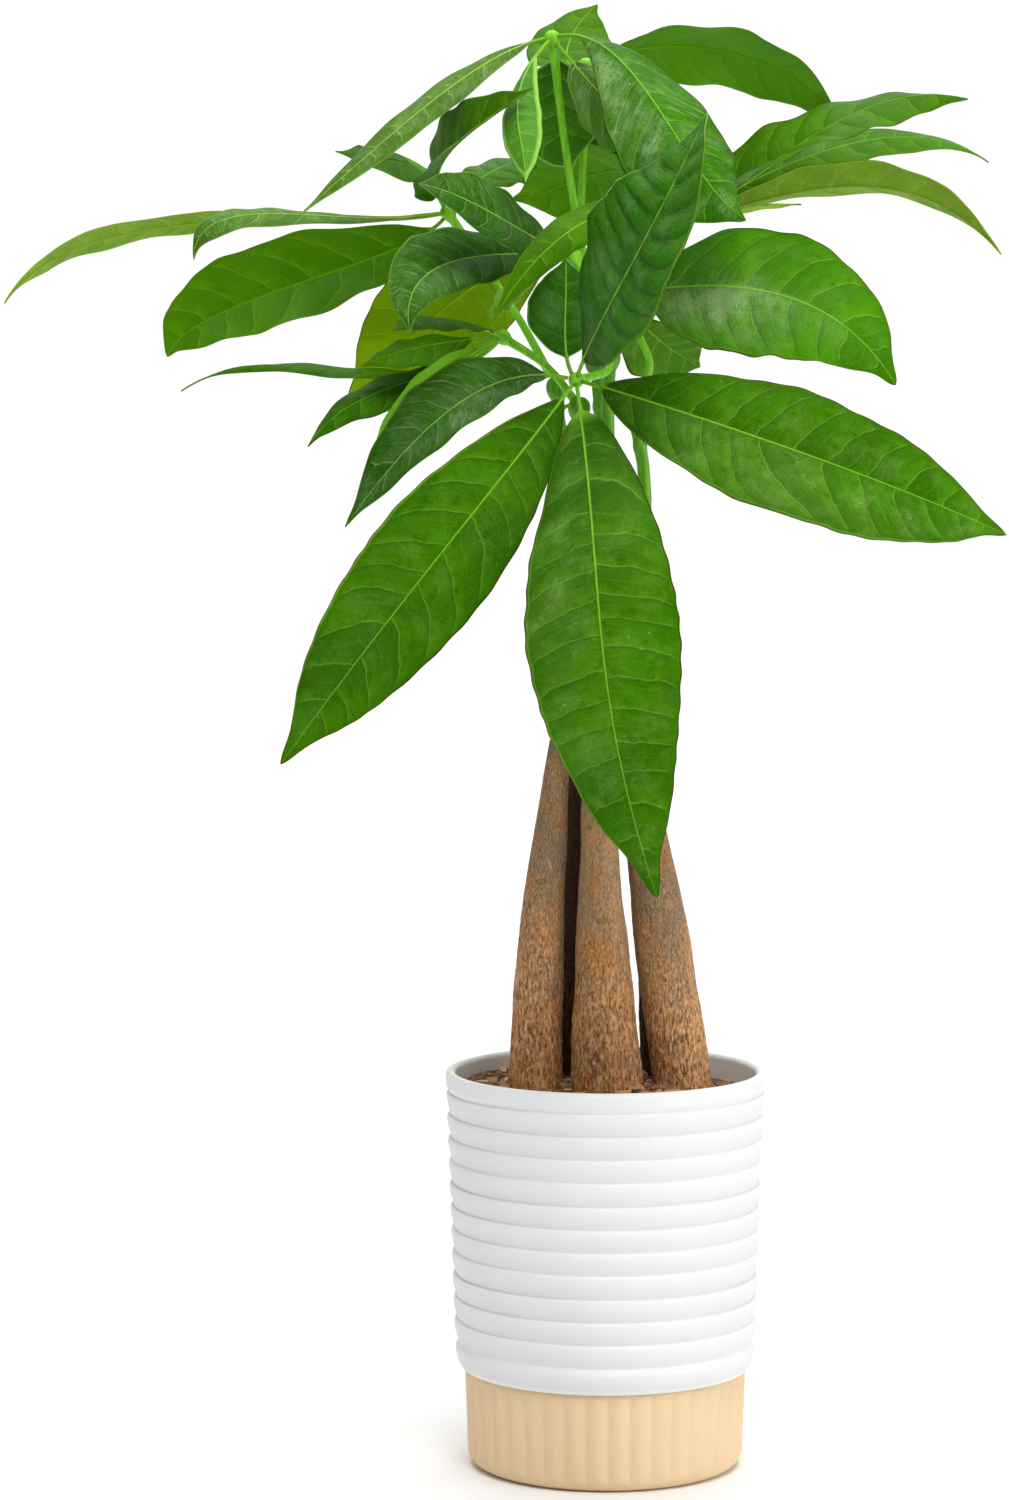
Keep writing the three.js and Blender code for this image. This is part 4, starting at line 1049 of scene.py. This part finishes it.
def leafFinish(name, row):
    # veins are the thin zones where the vein attribute passes a whole number, and weaker ones lie half way
    # between. Painted shade darkens the green near the hub, along the midrib and just before each vein, a
    # painted sheen lightens it after each vein, and dust with painted sheen pales it in patches, in streaks
    # along the veins and in the leaflet's painted sheen patches
    m = Recipe("leaf_" + name)
    finish = SimpleNamespace(**dict(zip(finishColumns, row)))
    base, dark, veinHue, paintedSheen, dustAndSheenHue, edge = (tint(rgb) for rgb in row[:6])
    # a darker green for the painted shade near the hub, where the leaflets shadow each other
    paintedHubShade = tint([0.7 * c for c in finish.dark])
    ribHue = tint(np.multiply(finish.vein, (0.94, 1.03, 0.7)))
    where = m.place()
    along, across, puff, bloom = map(m.attribute, ("along", "across", "puff", "bloom"))
    fromRib, fromEdge, vein = map(m.attribute, ("fromRib", "fromEdge", "vein"))
    cloud = m.noise(where, 26, 4, 0.6)
    patch = m.noise(where, 75, 3, 0.6)
    spots = m.noise(where, 230, 3, 0.6)
    fine = m.noise(where, 900, 3, 0.6)
    onBlade = m.step(along, 0.0, 0.03)
    inside = m.step(fromEdge, 0.5, 4.0) * onBlade

    jitter = (m.noise(where, 170, 3) - 0.5) * 0.16
    turn = (vein + jitter).math("FRACT")
    between = abs((vein + jitter * 1.6 + 0.5).math("FRACT") - 0.5) * 2.0
    veinLine = m.step(abs(turn - 0.5) * 2.0, 0.93, 0.985) * inside
    fineVein = m.step(between, 0.93, 0.99) * m.step(abs(across), 0.75, 0.45) * inside
    ribLine = m.step(fromRib - (0.62 - along * 0.34), 0.0, -0.35) * m.step(along, 1.0, 0.92, 0.4, 1.0)
    bent = m.waved(where, where, 200, 0.004)
    net = m.step(m.cells(bent, 210, "DISTANCE_TO_EDGE"), 0.07, 0.0)
    mesh = m.step(m.cells(bent, 560, "DISTANCE_TO_EDGE"), 0.14, 0.0)
    # painted shade in the low quilting just before each vein
    gully = m.step(turn, 0.34, 0.0) * inside * m.step(fromRib, 1.0, 4.0)
    speck = m.step(m.cells(where, 150), 0.09, 0.05) * m.step(spots, 0.5, 0.6)
    rim = m.step(fromEdge, finish.edgeWidth * 1.4, finish.edgeWidth * 0.5) * onBlade

    streak = m.noise(m.vector(vein * 7.0, abs(across) * 1.4, along * 2.0), 1.5, 5, 0.65)
    # dust and painted sheen: pale patches, stronger on the bulges between veins where light would catch, and
    # streaks along the veins
    dustAndSheen = m.step(patch, 0.47, 0.68) * (0.35 + puff * 0.65) * m.step(fine, 0.25, 0.6) * finish.dust
    dustAndSheen = dustAndSheen + m.step(streak, 0.5, 0.74) * finish.streaks * m.step(cloud, 0.34, 0.62)
    # ragged patches and streaks that break up the painted sheen patches
    ragged = m.step(patch, 0.36, 0.66) * 0.65 + m.step(streak, 0.3, 0.6) * 0.35
    dustAndSheen = (dustAndSheen + bloom * ragged * m.step(fine, 0.15, 0.6)).math("MINIMUM", 0.95) * onBlade

    colour = m.coats(
        m.blend(m.step(cloud, 0.3, 0.7), dark, base),
        # painted shade near the hub
        (m.step(along, 0.34, 0.02) * m.step(cloud, 0.2, 0.6) * 0.55, paintedHubShade),
        # painted shade before each vein and along the midrib channel
        (gully * finish.gully + m.step(fromRib, 3.2, 1.0) * 0.2, dark),
        (m.step(spots, 0.5, 0.32) * 0.4, dark),
        # painted sheen on the quilting after each vein
        (m.step(turn, 0.5, 0.95) * m.step(spots, 0.35, 0.6) * 0.3 * inside, paintedSheen),
        ((net * 0.05 + mesh * 0.05) * inside, veinHue),
        # dust and painted sheen
        (dustAndSheen * 0.6, dustAndSheenHue),
        ((veinLine + fineVein * 0.35) * finish.veins, veinHue),
        (ribLine, ribHue),
        (speck * finish.dust, tint(leafShared["speck"])),
        (rim * 0.8, edge),
        (1.0 - onBlade, tint(leafShared["stalk"])))
    rough = finish.rough + dustAndSheen * 0.3 + fine * 0.1
    height = mesh * -0.1 + net * -0.2 + fine * 0.12 + veinLine * -0.5 + fineVein * -0.3
    return m.finish(Base_Color=colour, Roughness=rough, Normal=m.bump(height, 0.5, 0.0006),
                    Specular_IOR_Level=leafShared["gloss"], Specular_Tint=leafShared["glossTint"])


leafMaterials = {name: leafFinish(name, row) for name, row in leafFinishes.items()}


def makeLeaflet(node, hub, row, seed, hubRadius=leafShape["hub"]):
    look = leafLooks.get(node, plainLook)
    points, attributes, sides = leafBlade(np.array(hub, float), row, look, seed, hubRadius)
    materials = [leafMaterials[look["upper"]], leafMaterials[look["under"]]]
    place(ringMesh("blade_" + node, points, materials, attributes, sides), node)


for number, (name, (shootName, via, hub, rows)) in enumerate(leafTable.items()):
    stalk = stalkRings(shootTable[shootName][-1], via, hub)
    place(ringMesh("stalk_" + name, stalk, [stalkGreen]), name + "_leaf_stalk")
    for i, row in enumerate(rows):
        makeLeaflet(f"{name}_leaflet_{i + 1}", hub, row, 100 * number + 10 * i)
makeLeaflet("small_leaf", shootTable["left"][-1], smallLeaf, 900, leafShape["smallHub"])
print("leaves made")
